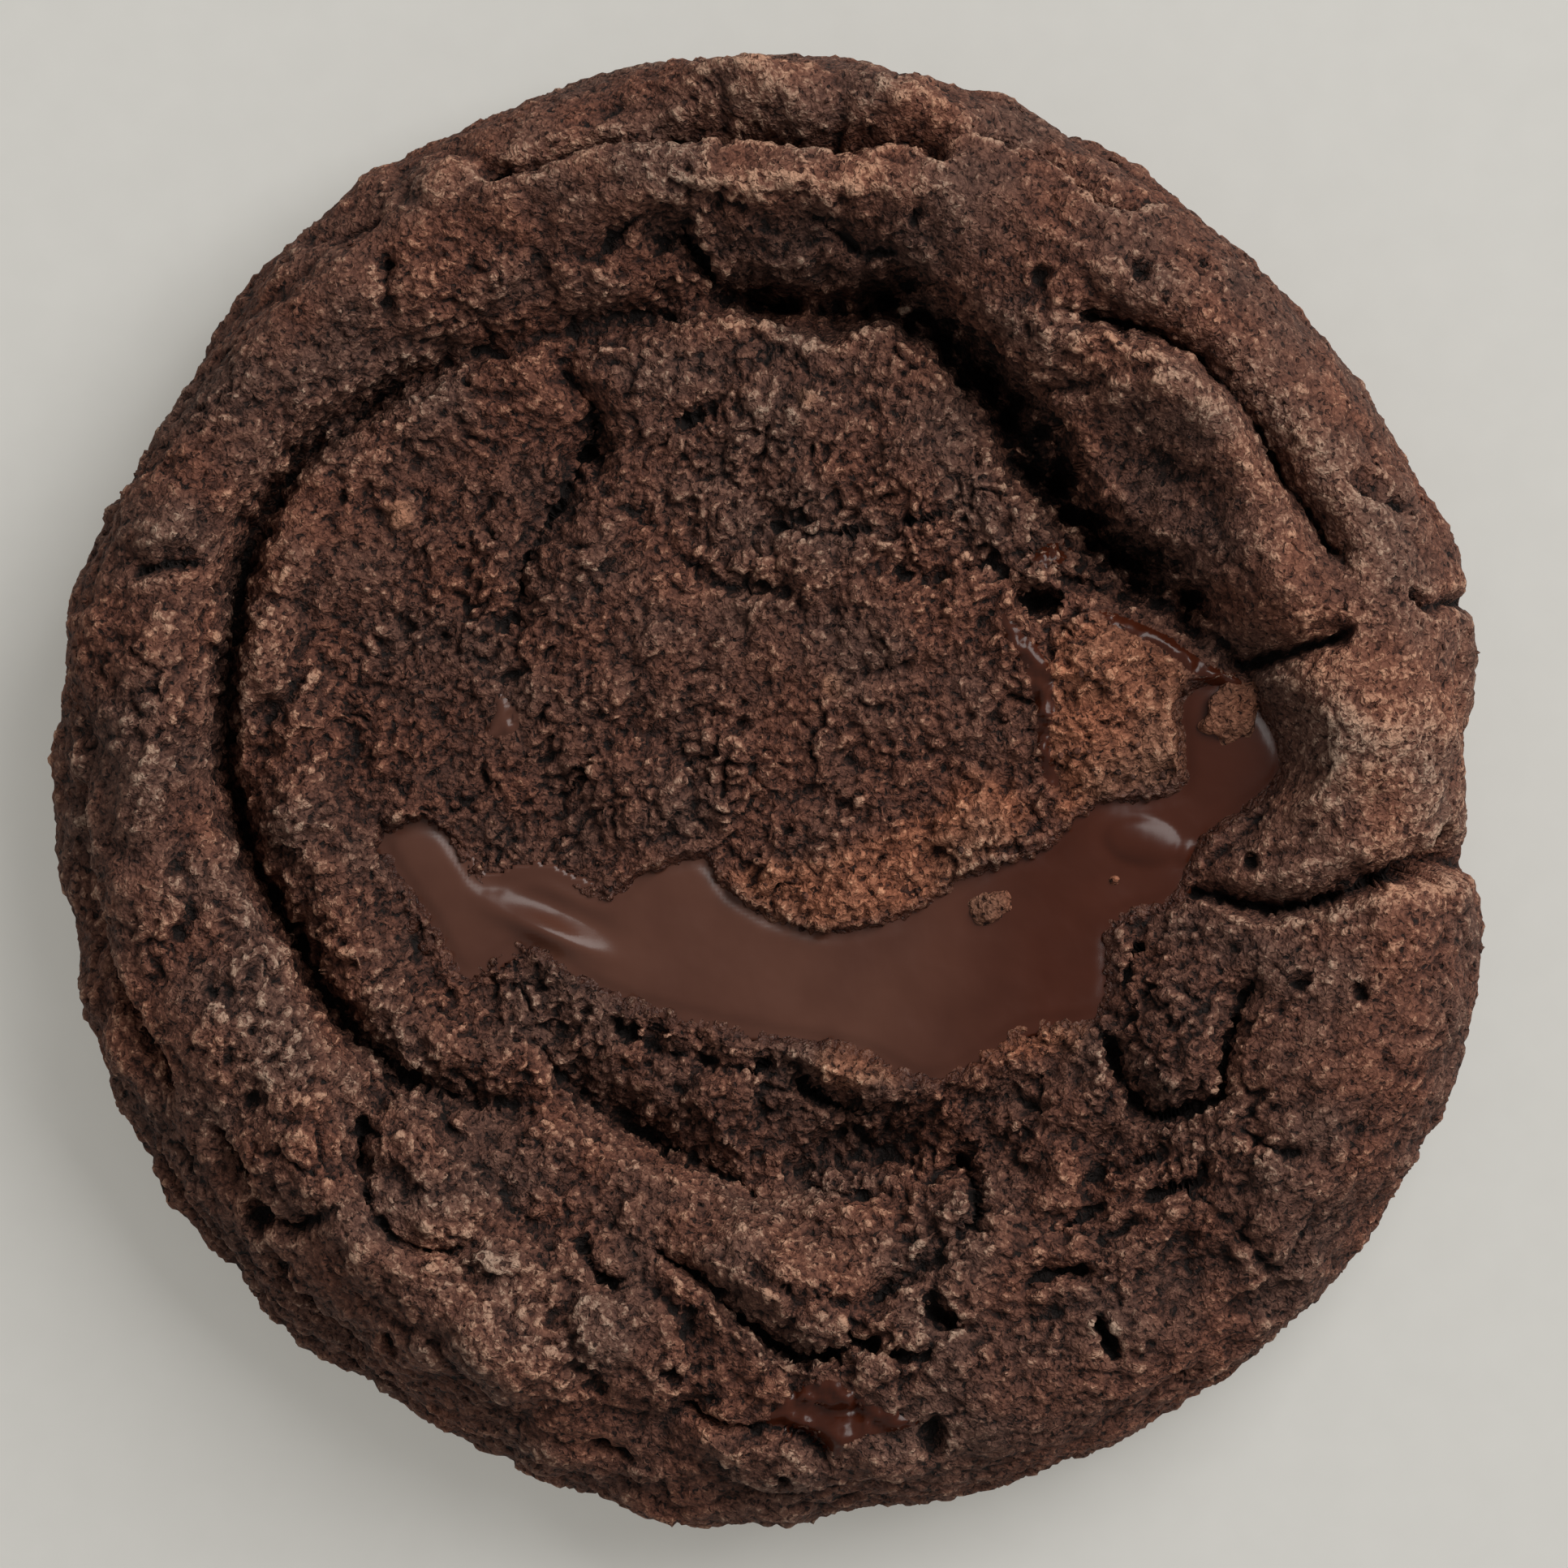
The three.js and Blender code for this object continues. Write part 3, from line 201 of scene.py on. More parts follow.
# Broad soft rises and hollows of the whole form, in the same way.
FORMS = [
    # valley under the pool
    (5, -21.6, 11, 2.8, -6, -3.2), (-11, -17.8, 5, 2.2, -35, -1.8),
    # terraces of the lower rim
    (0.5, -29.2, 7.5, 3, -22, 3), (-18, -31.8, 8, 2.8, -34, 3), (-27, -24.5, 5, 2.4, -50, 1.4),
    (12.5, -28, 4.2, 3, 30, 1.4), (26.5, -28.6, 3.6, 3.2, 30, -2.2), (21, -22.6, 5, 2.2, 25, -1.2),
    # hollow in the upper right wall
    (25.2, 18.8, 5.2, 2.4, -50, -1.9), (23.2, 25.4, 4.6, 2, -25, 0.8), (30.8, 12.6, 5.2, 2.2, -62, 2),
    # the block between the two cracks
    (37, 3, 5, 4.6, 80, 1),
    # crest along the top, and the skirt's lobes above it
    (-2, 37, 14, 1.6, -3, 1.2), (-1, 32.6, 9, 2.2, -3, -1.3), (-1.5, 42.5, 5.2, 1.1, -4, 3),
    (8.4, 41.2, 4, 1.1, -16, 2.4), (-30, -16, 6, 3, -62, 1.8), (-37.6, 2, 12, 2.2, 84, 1.2),
    (-24.8, -12, 2.2, 7, 25, 1), (-14, -4, 6, 5, 20, -1.2), (20.5, 5.8, 4.5, 3.6, 60, 1),
    (6, 12, 9, 6, 0, 0.9),
]

# Larger pores: place and radius.
PORES = [
    (-31.3, -19.2, 0.8), (-33.8, -12.2, 0.7), (-22.8, -33.6, 0.8), (-6, -35.7, 0.9), (9.1, 34.7, 0.7),
    (16.4, 31, 0.9), (22.6, 31.6, 1), (26.2, 31.7, 0.8), (32.4, -11.8, 0.8), (36, -12.2, 0.7),
    (1.1, -41.8, 0.8), (29.6, -4.7, 0.9), (-11, 20.4, 0.9), (16.3, 11.5, 0.9), (8.2, -19.5, 0.7),
]

# Melted chocolate, each outline a closed smooth curve through its points.
POOL_LEVEL = 10.3
POOL_STAND = 0.12          # how far the pool's face stands above that level
RIDGE_MIDDLE = (-13.6, -8.7)              # the soft ridge down the pool's left arm
RIDGE_WAY = (0.92, -0.39)
FILM = 0.28                # how far a patch or fleck stands above the dough
BASIN_DEPTH = 1.1          # how far the dough dips under it
POOL_OUTLINE = [
    (-23.3, -3), (-20.4, -2.4), (-17.4, -6), (-14.1, -5.3), (-9.6, -6.8), (-7.5, -5.2), (-4, -4.5),
    (-2.4, -6.6), (2.6, -8.9), (8.4, -8), (13, -5.2), (16.9, -4), (20, -1.4), (25.4, 0), (25.6, 5.6),
    (28.5, 6.2), (31.3, 1.4), (26.3, -3.2), (24.6, -6.6), (21.2, -7.8), (20.1, -13.6), (15.8, -14.4),
    (10.1, -17.6), (5.7, -15.8), (-1, -14.6), (-9.4, -12.4), (-15.2, -9.5), (-18.4, -11.2), (-20.4, -8),
]
PATCH_OUTLINE = [
    (2.4, -36.2), (-0.2, -38.6), (3, -39.6), (4.2, -41), (5, -39.9), (9.2, -38.7), (6.1, -37.2), (3.9, -35.8),
]
LEFT_FLECK_OUTLINE = [(-16.7, 6), (-15, 4.5), (-15.3, 3.4), (-17.4, 3.2), (-16.7, 4.7)]
RIGHT_FLECK_OUTLINE = [(16, 14.2), (17.5, 15), (18.5, 14.1), (17, 13.5)]

# Lumps under the pool's face, in the same way as LUMPS, and thin smears of chocolate beside the pool.
POOL_LUMPS = [(22.9, -3.2, 2.4, 1.5, -10, 0.4), (25.6, -3.9, 0.8, 0.5, 60, 0.2)]
SMEAR_OUTLINES = [
    [(14.2, 10.9), (15.8, 9.4), (17.1, 8), (17.6, 5), (17.3, 2.6), (17.9, 0.2), (17.2, 0), (16.4, 2.4),
     (16.3, 5), (15.4, 7.8), (14.3, 9.6)],
    [(20.2, 11.1), (22.6, 10.3), (24.6, 9.4), (26.8, 7.8), (29.2, 6.6), (28.6, 5.8), (26.2, 6.7), (24, 8.5),
     (22.3, 9.3), (20.6, 10.2)],
]
# Clumps of crumb that lie in the pool: place, half-sizes, turn, how far they stand out of the chocolate, and
# how much of them is light inner crumb and how much is coated.
ISLANDS = [
    (28.4, 4.7, 2.2, 1.7, 50, 0.8, 0.9, 0), (13.6, -7.2, 1.5, 1.05, 20, 0.5, 0.9, 0),
    (21.2, -5.6, 0.5, 0.4, 0, 0.2, 0.9, 0), (-21.6, -8.2, 1.1, 0.7, 60, 0.5, 0.2, 0.9),
    (-22.4, -6.4, 0.8, 0.6, 10, 0.4, 0.2, 0.9), (-20.9, -9.6, 0.7, 0.5, 0, 0.3, 0.2, 0.9),
]
ISLAND_DEPTH = 0.3         # how far their middle lies under the pool's level
ISLAND_HEIGHT = 0.5        # their half-height, less how far they stand out

# Where the crumb is lighter: open inner crumb beside the pool.
TAN_ZONES = [
    [(-2.7, -5.2), (3, -4), (9.7, -1.2), (12, 1), (16, -1), (13.5, -4.7), (7.5, -8.2), (2.6, -8.8),
     (-1, -7.6)],
    [(17.5, 9.5), (22.3, 10), (25, 7.5), (26.2, 1.5), (21, -0.5), (18, -1.8), (17, 2)],
    [(10.5, -17.5), (13, -15.2), (17, -13.6), (19.4, -14.4), (18, -16), (14, -16.6)],
    [(2.8, -16), (6, -15.8), (8.4, -17.4), (6.4, -18.6), (3.4, -18)],
]
# Where the dough is lighter (a positive share) or darker: partly the crust's own baked tone, partly painted
# light where the forms face the lamp and painted shade in the canyon, on the top rim's inner wall and in the
# valley under the pool. Place, half-lengths, turn, share.
CRUST_AND_PAINTED_LIGHT = [
    (37.5, 2.5, 6.5, 7, 0, 1.3), (33, 20, 11, 5, -55, 0.55), (-2, 37, 15, 1.6, -3, 0.5),
    (-19, 36, 7, 5, 30, 0.3), (36, -12, 7, 5, 70, 0.3), (0.5, -25.8, 7, 3, -20, 0.8),
    (-16.5, -30, 7, 3, -34, 1.0), (-29, 12, 3, 9, 0, 0.25), (-30, -16, 4, 6, 20, 0.35),
    (5, -20.5, 11, 3.4, -6, -0.5), (24.8, -15, 4, 4.5, 0, -0.6), (-15, -3, 8, 6, 0, -0.3),
    (26, -29, 5, 4, 30, -0.4), (24, 17, 5, 3, -50, -0.2), (-13, 18, 4, 5, 0, -0.4),
    (-36, -26, 14, 4, -50, -0.3), (1, -39, 12, 4, 0, -0.1), (16.5, 20.6, 13, 1.7, -52, -1.3),
    (-1, 32.4, 10, 2, -3, -0.6), (21.8, 25, 3.6, 2.4, -25, 0.6), (-11.5, 20.5, 6, 1.5, 66, -0.5),
    (2, 13, 10, 7, 0, 0.25), (-21, 4, 6, 11, 0, -0.3),
]
# Pale nibs: place and radius.
NIBS = [(-22.5, 16.8, 1), (2.4, 23.8, 0.7), (3.9, 6.3, 0.8), (12.9, -7.2, 1), (28.8, 4.5, 1.1)]

# Mesh and crumb.
CELLS_ACROSS = 256      # cells of the patch in the middle of the top
CELLS_DOWN = 180         # rows from the patch over the rim and down to the foot
BOTTOM_ROWS = 8
PATCH_SHARE = 0.6                         # the middle patch ends at this share of the crest's radius
SHEET_STEP = 0.25                         # cell size of the melted chocolate
CRUMBS = 2600
CRUMB_SIZE, CRUMB_SPREAD = 0.10, 0.16     # radius of the smallest, and how much larger the largest is
SEED = 11


# ---- noise ----

GRADIENTS = np.array([
    (1, 1, 0), (-1, 1, 0), (1, -1, 0), (-1, -1, 0), (1, 0, 1), (-1, 0, 1), (1, 0, -1), (-1, 0, -1),
    (0, 1, 1), (0, -1, 1), (0, 1, -1), (0, -1, -1), (1, 1, 0), (-1, 1, 0), (0, -1, 1), (0, -1, -1),
], np.float32)


def corner_bits(corner, seed):
    """Even random bits for each lattice corner, one row of whole numbers each."""
    x, y, z = (corner[:, i].astype(np.int64).astype(np.uint32) for i in range(3))
    bits = x * np.uint32(374761393) + y * np.uint32(668265263) + z * np.uint32(2246822519)
    bits += np.uint32((seed * 2654435761) & 0xFFFFFFFF)
    bits = (bits ^ (bits >> 15)) * np.uint32(2246822519)
    bits = (bits ^ (bits >> 13)) * np.uint32(3266489917)
    return bits ^ (bits >> 16)


def gradient_noise(points, size, seed):
    """Smooth noise of about -1 to 1 with bumps of that size."""
    place = (points / size).astype(np.float32)
    cell = np.floor(place)
    part = place - cell
    fade = part ** 3 * (part * (part * 6 - 15) + 10)
    total = np.zeros(len(points), np.float32)
    for corner in np.ndindex(2, 2, 2):
        step = np.array(corner, np.float32)
        slope = GRADIENTS[corner_bits(cell + step, seed) & 15]
        weight = np.prod(np.where(step > 0, fade, 1 - fade), axis=1)
        total += weight * np.einsum("ij,ij->i", slope, part - step)
    return total


def layered_noise(points, layers, seed):
    """Sum of layers of noise, each with its wavelength, its swing and a seed of its own."""
    return sum(swing * gradient_noise(points, size, seed + k) for k, (size, swing) in enumerate(layers))


def vector_noise(points, size, seed):
    """Three noises of one size side by side, to shift places with."""
    return np.stack([gradient_noise(points, size, seed + k) for k in range(3)], 1)


def cell_noise(points, size, seed):
    """Distances to the nearest and second nearest of scattered points, one a cell, and its random number."""
    place = (points / size).astype(np.float32)
    cell = np.floor(place)
    first = np.full(len(points), 9, np.float32)
    second = first.copy()
    chance = np.zeros(len(points), np.float32)
    for corner in np.ndindex(3, 3, 3):
        near = cell + (np.array(corner, np.float32) - 1)
        bits = corner_bits(near, seed)
        shift = np.stack([bits & 1023, (bits >> 10) & 1023, (bits >> 20) & 1023], 1) / np.float32(1023)
        distance = np.linalg.norm(place - near - shift, axis=1)
        nearer = distance < first
        second = np.where(nearer, first, np.minimum(second, distance))
        chance = np.where(nearer, (bits >> 5 & 255) / np.float32(255), chance)
        first = np.where(nearer, distance, first)
    return first, second, chance


def smoothstep(value, low, high):
    t = np.clip((value - low) / (high - low), 0, 1)
    return t * t * (3 - 2 * t)


# ---- lines and outlines ----

def smooth_line(points, closed=False, step=0.8):
    """Centripetal Catmull-Rom curve through plan points, as points about one step apart."""
    points = np.array(points, float)
    if closed:
        points = np.vstack([points[-1:], points, points[:2]])
    else:
        points = np.vstack([2 * points[0] - points[1], points, 2 * points[-1] - points[-2]])
    line = []
    for span in (points[k:k + 4] for k in range(len(points) - 3)):
        knots = np.cumsum([0, *(np.linalg.norm(q - p) ** 0.5 for p, q in zip(span[:-1], span[1:]))])
        count = max(2, int(round(np.linalg.norm(span[2] - span[1]) / step)))
        for t in knots[1] + (knots[2] - knots[1]) * np.arange(count) / count:
            places = span
            for lows, highs in ((knots[:3], knots[1:]), (knots[:2], knots[2:]), (knots[1:2], knots[2:3])):
                places = [((high - t) * p + (t - low) * q) / (high - low)
                          for p, q, low, high in zip(places[:-1], places[1:], lows, highs)]
            line.append(places[0])
    if not closed:
        line.append(points[-2])
    return np.array(line)


def nearest_on_segment(start, end, x, y):
    """Distance from a straight segment, and the nearest place's share of its length."""
    dx, dy = end - start
    from_x, from_y = x - start[0], y - start[1]
    share = np.clip((from_x * dx + from_y * dy) / (dx * dx + dy * dy), 0, 1)
    return np.hypot(from_x - share * dx, from_y - share * dy), share


def nearest_on_line(line, x, y):
    """Distance to a line, positive to its left, how far along it the nearest place is, and its length."""
    best = np.full(x.shape, np.inf)
    side = np.ones(x.shape)
    along = np.zeros(x.shape)
    walked = 0.0
    for start, end in zip(line[:-1], line[1:]):
        dx, dy = end - start
        length = math.hypot(dx, dy)
        distance, share = nearest_on_segment(start, end, x, y)
        nearer = distance < best
        best = np.where(nearer, distance, best)
        on_right = dx * (y - start[1]) - dy * (x - start[0]) < 0
        side = np.where(nearer, np.where(on_right, -1, 1), side)
        along = np.where(nearer, walked + share * length, along)
        walked += length
    return best * side, along, walked


def near_line(line, x, y, reach):
    """Which places lie in the box round a line, widened by the reach."""
    low, high = line.min(0) - reach, line.max(0) + reach
    return (x > low[0]) & (x < high[0]) & (y > low[1]) & (y < high[1])


def outline_distance(outline, x, y, reach=8.0):
    """Distance from a closed outline, negative inside it; places further off than reach give reach."""
    near = near_line(outline, x, y, reach)
    px, py = x[near], y[near]
    best = np.full(px.shape, np.inf)
    inside = np.zeros(px.shape, bool)
    for start, end in zip(outline, np.roll(outline, -1, 0)):
        best = np.minimum(best, nearest_on_segment(start, end, px, py)[0])
        if start[1] != end[1]:
            crossing = start[0] + (end[0] - start[0]) * (py - start[1]) / (end[1] - start[1])
            inside ^= ((start[1] > py) != (end[1] > py)) & (px < crossing)
    result = np.full(x.shape, reach)
    result[near] = np.minimum(np.where(inside, -best, best), reach)
    return result


# ---- the form of the dough ----

POOL = smooth_line(POOL_OUTLINE, closed=True)
FOLD_LINES = [smooth_line(np.reshape(fold[6:], (-1, 2)), step=0.6) for fold in FOLDS]


def rim_at(angle):
    """The rim's sizes at each bearing, on a smooth closed curve through the rows of RIM."""
    place = (angle / RIM_STEP) % len(RIM)
    row = np.floor(place).astype(int)
    t = (place - row)[:, None]
    a, b, c, d = (RIM[(row + k) % len(RIM)] for k in (-1, 0, 1, 2))
    sizes = b + 0.5 * t * (c - a + t * (2 * a - 5 * b + 4 * c - d + t * (3 * (b - c) + d - a)))
    sizes[:, 6] = np.clip(sizes[:, 6], 0, 1)
    return sizes.T


def rounding(off, radius):
    """Share by which a rounded shoulder has dropped: 1 at its foot, 0 from the radius on."""
    near = 1 - np.clip(off / radius, 0, 1)
    return 0.5 * (1 - np.sqrt(1 - near ** 2)) + 0.5 * near ** 1.6


def fold_relief(fold, line, x, y, unevenness):
    """Height that one fold adds: two rounded shoulders that meet in a crevice, or stand apart at a gap."""
    height = np.zeros(x.shape)
    depth, round_left, rise_left, round_right, rise_right, gap = fold[:6]
    near = near_line(line, x, y, 2.2 * max(round_left, round_right) + 1)
    if not near.any():
        return height
    distance, along, length = nearest_on_line(line, x[near], y[near])
    on_left = distance > 0
    off = np.abs(distance)
    radius = 0.85 * np.where(on_left, round_left, round_right)
    rise = np.where(on_left, rise_left, rise_right)
    shoulder = rise * (1 - np.exp(-(off / radius) ** 2)) * np.exp(-(off / (1.6 * radius)) ** 2)
    crevice = 0.85 * depth * rounding(off, radius)
    if gap > 0:
        gap_depth = (0.1 + 1.4 * gap) * depth ** 0.6 * smoothstep(unevenness[near], 0.5, 1.2)
        crevice = crevice + gap_depth * np.exp(-(off / (0.8 * gap)) ** 4)
    fade = min(2.5, length / 3)
    strength = smoothstep(along, 0, fade)
    if np.hypot(*line[-1]) < EDGE_RADIUS:
        strength = strength * smoothstep(length - along, 0, fade)
    steady = 1 + (unevenness[near] - 1) / max(1, depth)
    height[near] = (shoulder - crevice * steady) * strength
    return height


def turned(x, y, degrees):
    """Plan offsets along and across a direction."""
    cos, sin = math.cos(math.radians(degrees)), math.sin(math.radians(degrees))
    return x * cos + y * sin, y * cos - x * sin


def lump_relief(lump, x, y):
    """Height that one rounded lump or hollow adds."""
    cx, cy, half_along, half_across, turn, height = lump
    along, across = turned(x - cx, y - cy, turn)
    return height * np.clip(1 - (along / half_along) ** 2 - (across / half_across) ** 2, 0, 1) ** 0.8


def soft_mound(x, y, mound):
    """Height of a soft rise or hollow with no edge."""
    cx, cy, half_along, half_across, turn, height = mound
    along, across = turned(x - cx, y - cy, turn)
    return height * np.exp(-(along / half_along) ** 2 - (across / half_across) ** 2)


def relief(points):
    """All folds, lumps, pores and unevenness at places on the smooth form."""
    x = points[:, 0] + layered_noise(points, WARP, 1)
    y = points[:, 1] + layered_noise(points, WARP, 4)
    unevenness = np.maximum(0.95 + layered_noise(points, FOLD_CHANGE, 8), 0.1)
    height = layered_noise(points, SWELL, 20) + lobes(points)
    for fold, line in zip(FOLDS, FOLD_LINES):
        height += fold_relief(fold, line, x, y, unevenness)
    for lump in LUMPS:
        height += lump_relief(lump, x, y)
    for form in FORMS:
        height += soft_mound(x, y, form)
    ragged = 0.54 * (1 + 0.8 * gradient_noise(points, 0.6, 10))
    for px, py, radius in PORES:
        off = np.hypot(x - px, y - py) / (radius * ragged)
        height -= PORE_DEPTH * radius * np.exp(-off ** 3) * (off < 2)
    return height


def lobes(points):
    """Pillowy lobes a few millimetres wide that meet in soft valleys, strongest along the lower rim."""
    x, y = points[:, 0], points[:, 1]
    radius, bearing = np.hypot(x, y), np.arctan2(y, x)
    bend = 1.3 * vector_noise(points, 4.5, 60) + 0.5 * vector_noise(points, 1.6, 63)
    around = LOBE_REACH / LOBE_STRETCH * (bearing % (2 * math.pi))
    round_rim = np.stack([around, radius, points[:, 2]], 1)
    on_rim = smoothstep(radius, 22, 29) * smoothstep(np.abs(bearing), 0.25, 0.6)
    plain = lobe_field(points + bend)
    height = plain + (lobe_field(round_rim + bend) - plain) * on_rim
    lower = smoothstep(-y - 0.3 * x, 8, 20)
    left = smoothstep(-x, 22, 30)
    outer = smoothstep(radius, 36, 41)
    right = smoothstep(x, 24, 32) * smoothstep(y, -14, -6)
    share = 0.5 + 0.5 * np.maximum(lower, 0.6 * left)
    return height * share * (1 - 0.4 * outer) * (1 - 0.7 * right)


def lobe_field(places):
    """Height of lobes scattered in a space of places."""
    height = np.zeros(len(places))
    for seed, (size, swell, valley, half_width) in enumerate(LOBES):
        near, next_near, chance = cell_noise(places, size, 70 + seed)
        edge = (next_near - near) * size / 2
        height += swell * (0.5 - near ** 2 + 0.8 * (chance - 0.5) * smoothstep(edge, 0, 0.8))
        height -= valley * np.exp(-(edge / half_width) ** 1.5)
    return height


def inner_height(x, y, rim, raised, wander):
    """Height of the dough inside the crest: the centre plate, the moat and the rim's inner wall."""
    _, crest, crest_height, foot, moat_depth, moat_width, upright = rim
    radius = np.hypot(x, y)
    climb = np.clip((radius - foot) / (crest - foot), 0, 1)
    rolled = np.sqrt(1 - (1 - climb) ** 2)
    wall = smoothstep(climb, 0, 1) * (1 - upright) + rolled * upright
    off = np.abs(radius - foot + 0.6 * wander)
    moat = 0.75 * np.exp(-(off / moat_width) ** 3) + 0.25 * rounding(off, 1.4 + moat_width)
    to_roll = foot + wander - ROLL_INSET - radius
    roll = EDGE_ROLL * np.exp(-(to_roll / ROLL_WIDTH) ** 2) * smoothstep(-x, 4, 16)
    height = CENTRE_HEIGHT + (crest_height - CENTRE_HEIGHT) * wall + roll + raised
    height -= moat_depth * (1 + 0.22 * wander) * moat
    return np.minimum(height, pool_bank(x, y))


def pool_bank(x, y):
    """The highest that the dough may stand round the pool: it dips under the chocolate's face."""
    distance = outline_distance(POOL, x, y)
    slope = 0.8 + smoothstep(y - 0.25 * np.maximum(x, 0), -12, -9.5)
    under = BASIN_DEPTH * (1 - np.exp(distance / 0.6))
    return POOL_LEVEL + 0.05 + np.where(distance > 0, slope * distance, -under)


def surface(angle, share):
    """
    Places on the cookie's surface. Share runs from 0 in the middle of the top over 1 at the rim's crest, 2
    at the widest ring and 3 at the edge of the resting face to 4 in the middle of that face.
    """
    rim = rim_at(angle)
    outline, crest, crest_height = rim[:3]
    foot_radius = outline - FOOT_INSET
    upper = np.clip(share - 1, 0, 1) * math.pi / 2
    lower = np.clip(share - 2, 0, 1) * math.pi / 2
    bulge = (outline - crest) * np.sin(upper) - FOOT_INSET * (1 - np.cos(lower))
    radius = crest * np.clip(share, 0, 1) + bulge
    radius = np.where(share > 3, foot_radius * (4 - share), radius)
    side_height = WIDEST_HEIGHT + (crest_height - WIDEST_HEIGHT) * np.cos(upper)
    side_height = side_height - WIDEST_HEIGHT * np.sin(lower)
    points = np.stack([radius * np.cos(angle), radius * np.sin(angle), side_height], 1)
    raised = relief(points)
    wander = layered_noise(points, WANDER, 12)
    out = np.sin(upper) * smoothstep(side_height, 1, 8) * raised - side_creases(angle, side_height, share)
    radius = radius + np.where((share > 1) & (share < 3), out, 0)
    inner = inner_height(points[:, 0], points[:, 1], rim, raised, wander)
    height = np.where(share < 1, inner, side_height + np.cos(upper) * raised)
    height = np.where(share >= 3, 0, np.where(share > 2, side_height, height))
    return np.stack([radius * np.cos(angle), radius * np.sin(angle), height], 1)


def side_creases(angle, height, share):
    """Depth of the wavy level creases that run round the side."""
    upper = 7.6 + 1.2 * np.sin(3 * angle) + 0.7 * np.sin(7 * angle + 1)
    lower = 3.2 + 0.8 * np.sin(4 * angle + 2) + 0.4 * np.sin(11 * angle)
    strength = 0.6 + 0.4 * np.sin(5 * angle + 0.5)
    crease = 0.9 * np.exp(-np.abs((height - upper) / 0.7) ** 1.5)
    crease = crease + 0.5 * np.exp(-np.abs((height - lower) / 0.5) ** 1.5)
    return crease * strength * smoothstep(share, 1.2, 1.6)


def even_shares(angle, start):
    """Shares for each column of cells, from the patch's edge to the foot, evenly spaced on the surface."""
    coarse = angle[::4]
    trial = np.linspace(0, 1, 260)
    shares = start[::4, None] + (3 - start[::4, None]) * trial
    points = surface(np.repeat(coarse, len(trial)), shares.ravel()).reshape(*shares.shape, 3)
    steps = np.linalg.norm(np.diff(points, axis=1), axis=2) + 0.03
    walked = np.hstack([np.zeros((len(coarse), 1)), np.cumsum(steps, 1)])
    walked /= walked[:, -1:]
    walked = sum(np.roll(walked, k, 0) for k in range(-2, 3)) / 5
    target = np.linspace(0, 1, CELLS_DOWN + 1)[1:]
    parts = np.array([np.interp(target, row, trial) for row in walked])
    full = np.arange(len(angle)) / 4
    before = np.floor(full).astype(int)
    mix = (full - before)[:, None]
    parts = parts[before] * (1 - mix) + parts[(before + 1) % len(coarse)] * mix
    return (start[:, None] + (3 - start[:, None]) * parts).T


def grid_cells(at):
    """The four corners of every cell of a grid of corner numbers."""
    return np.stack([at[:-1, :-1], at[1:, :-1], at[1:, 1:], at[:-1, 1:]], -1).reshape(-1, 4)


def dough_cells():
    """Bearing and share of every corner of the dough's mesh, and its four-sided and three-sided cells."""
    n = CELLS_ACROSS
    along = np.tan(np.linspace(-1, 1, n + 1) * math.pi / 4)
    gx, gy = (g.ravel() for g in np.meshgrid(along, along, indexing="ij"))
    angle = np.arctan2(gy, gx)
    share = np.arctan(np.hypot(gx, gy)) / (math.pi / 4) * PATCH_SHARE
    at = np.arange((n + 1) ** 2).reshape(n + 1, n + 1)
    patch = grid_cells(at)
    ring = np.concatenate([at[n, :-1], at[:0:-1, n], at[0, :0:-1], at[:-1, 0]])
    rows = even_shares(angle[ring], share[ring])
    bottom = np.repeat(3 + np.arange(1, BOTTOM_ROWS)[:, None] / BOTTOM_ROWS, len(ring), 1)
    rows = np.vstack([rows, bottom])
    angle = np.concatenate([angle, np.tile(angle[ring], len(rows)), [0]])
    share = np.concatenate([share, rows.ravel(), [4]])
    rings = np.vstack([ring, len(at) ** 2 + np.arange(rows.size).reshape(rows.shape)])
    following = np.roll(rings, -1, 1)
    side = np.stack([rings[:-1], rings[1:], following[1:], following[:-1]], -1).reshape(-1, 4)
    middle = np.full(len(ring), len(angle) - 1)
    fan = np.stack([rings[-1], middle, following[-1]], -1)
    return angle, share, np.vstack([patch, side]), fan


def corner_mean(values, quads, count):
    """Mean over each corner of its cells' values."""
    corners = quads.ravel()
    weight = np.maximum(np.bincount(corners, minlength=count), 1)
    columns = [np.bincount(corners, np.repeat(v, 4), minlength=count) / weight for v in values.T]
    return np.stack(columns, 1)


def corner_normals(points, quads):
    """Outward direction at each corner."""
    a, b, c, d = (points[quads[:, i]] for i in range(4))
    normals = corner_mean(np.cross(c - a, d - b), quads, len(points))
    normals[np.linalg.norm(normals, axis=1) == 0] = (0, 0, -1)
    return normals / np.linalg.norm(normals, axis=1)[:, None]


def smoothed(points, quads, passes):
    """The surface with its detail averaged away."""
    for _ in range(passes):
        points = corner_mean(points[quads].mean(1), quads, len(points))
    return points


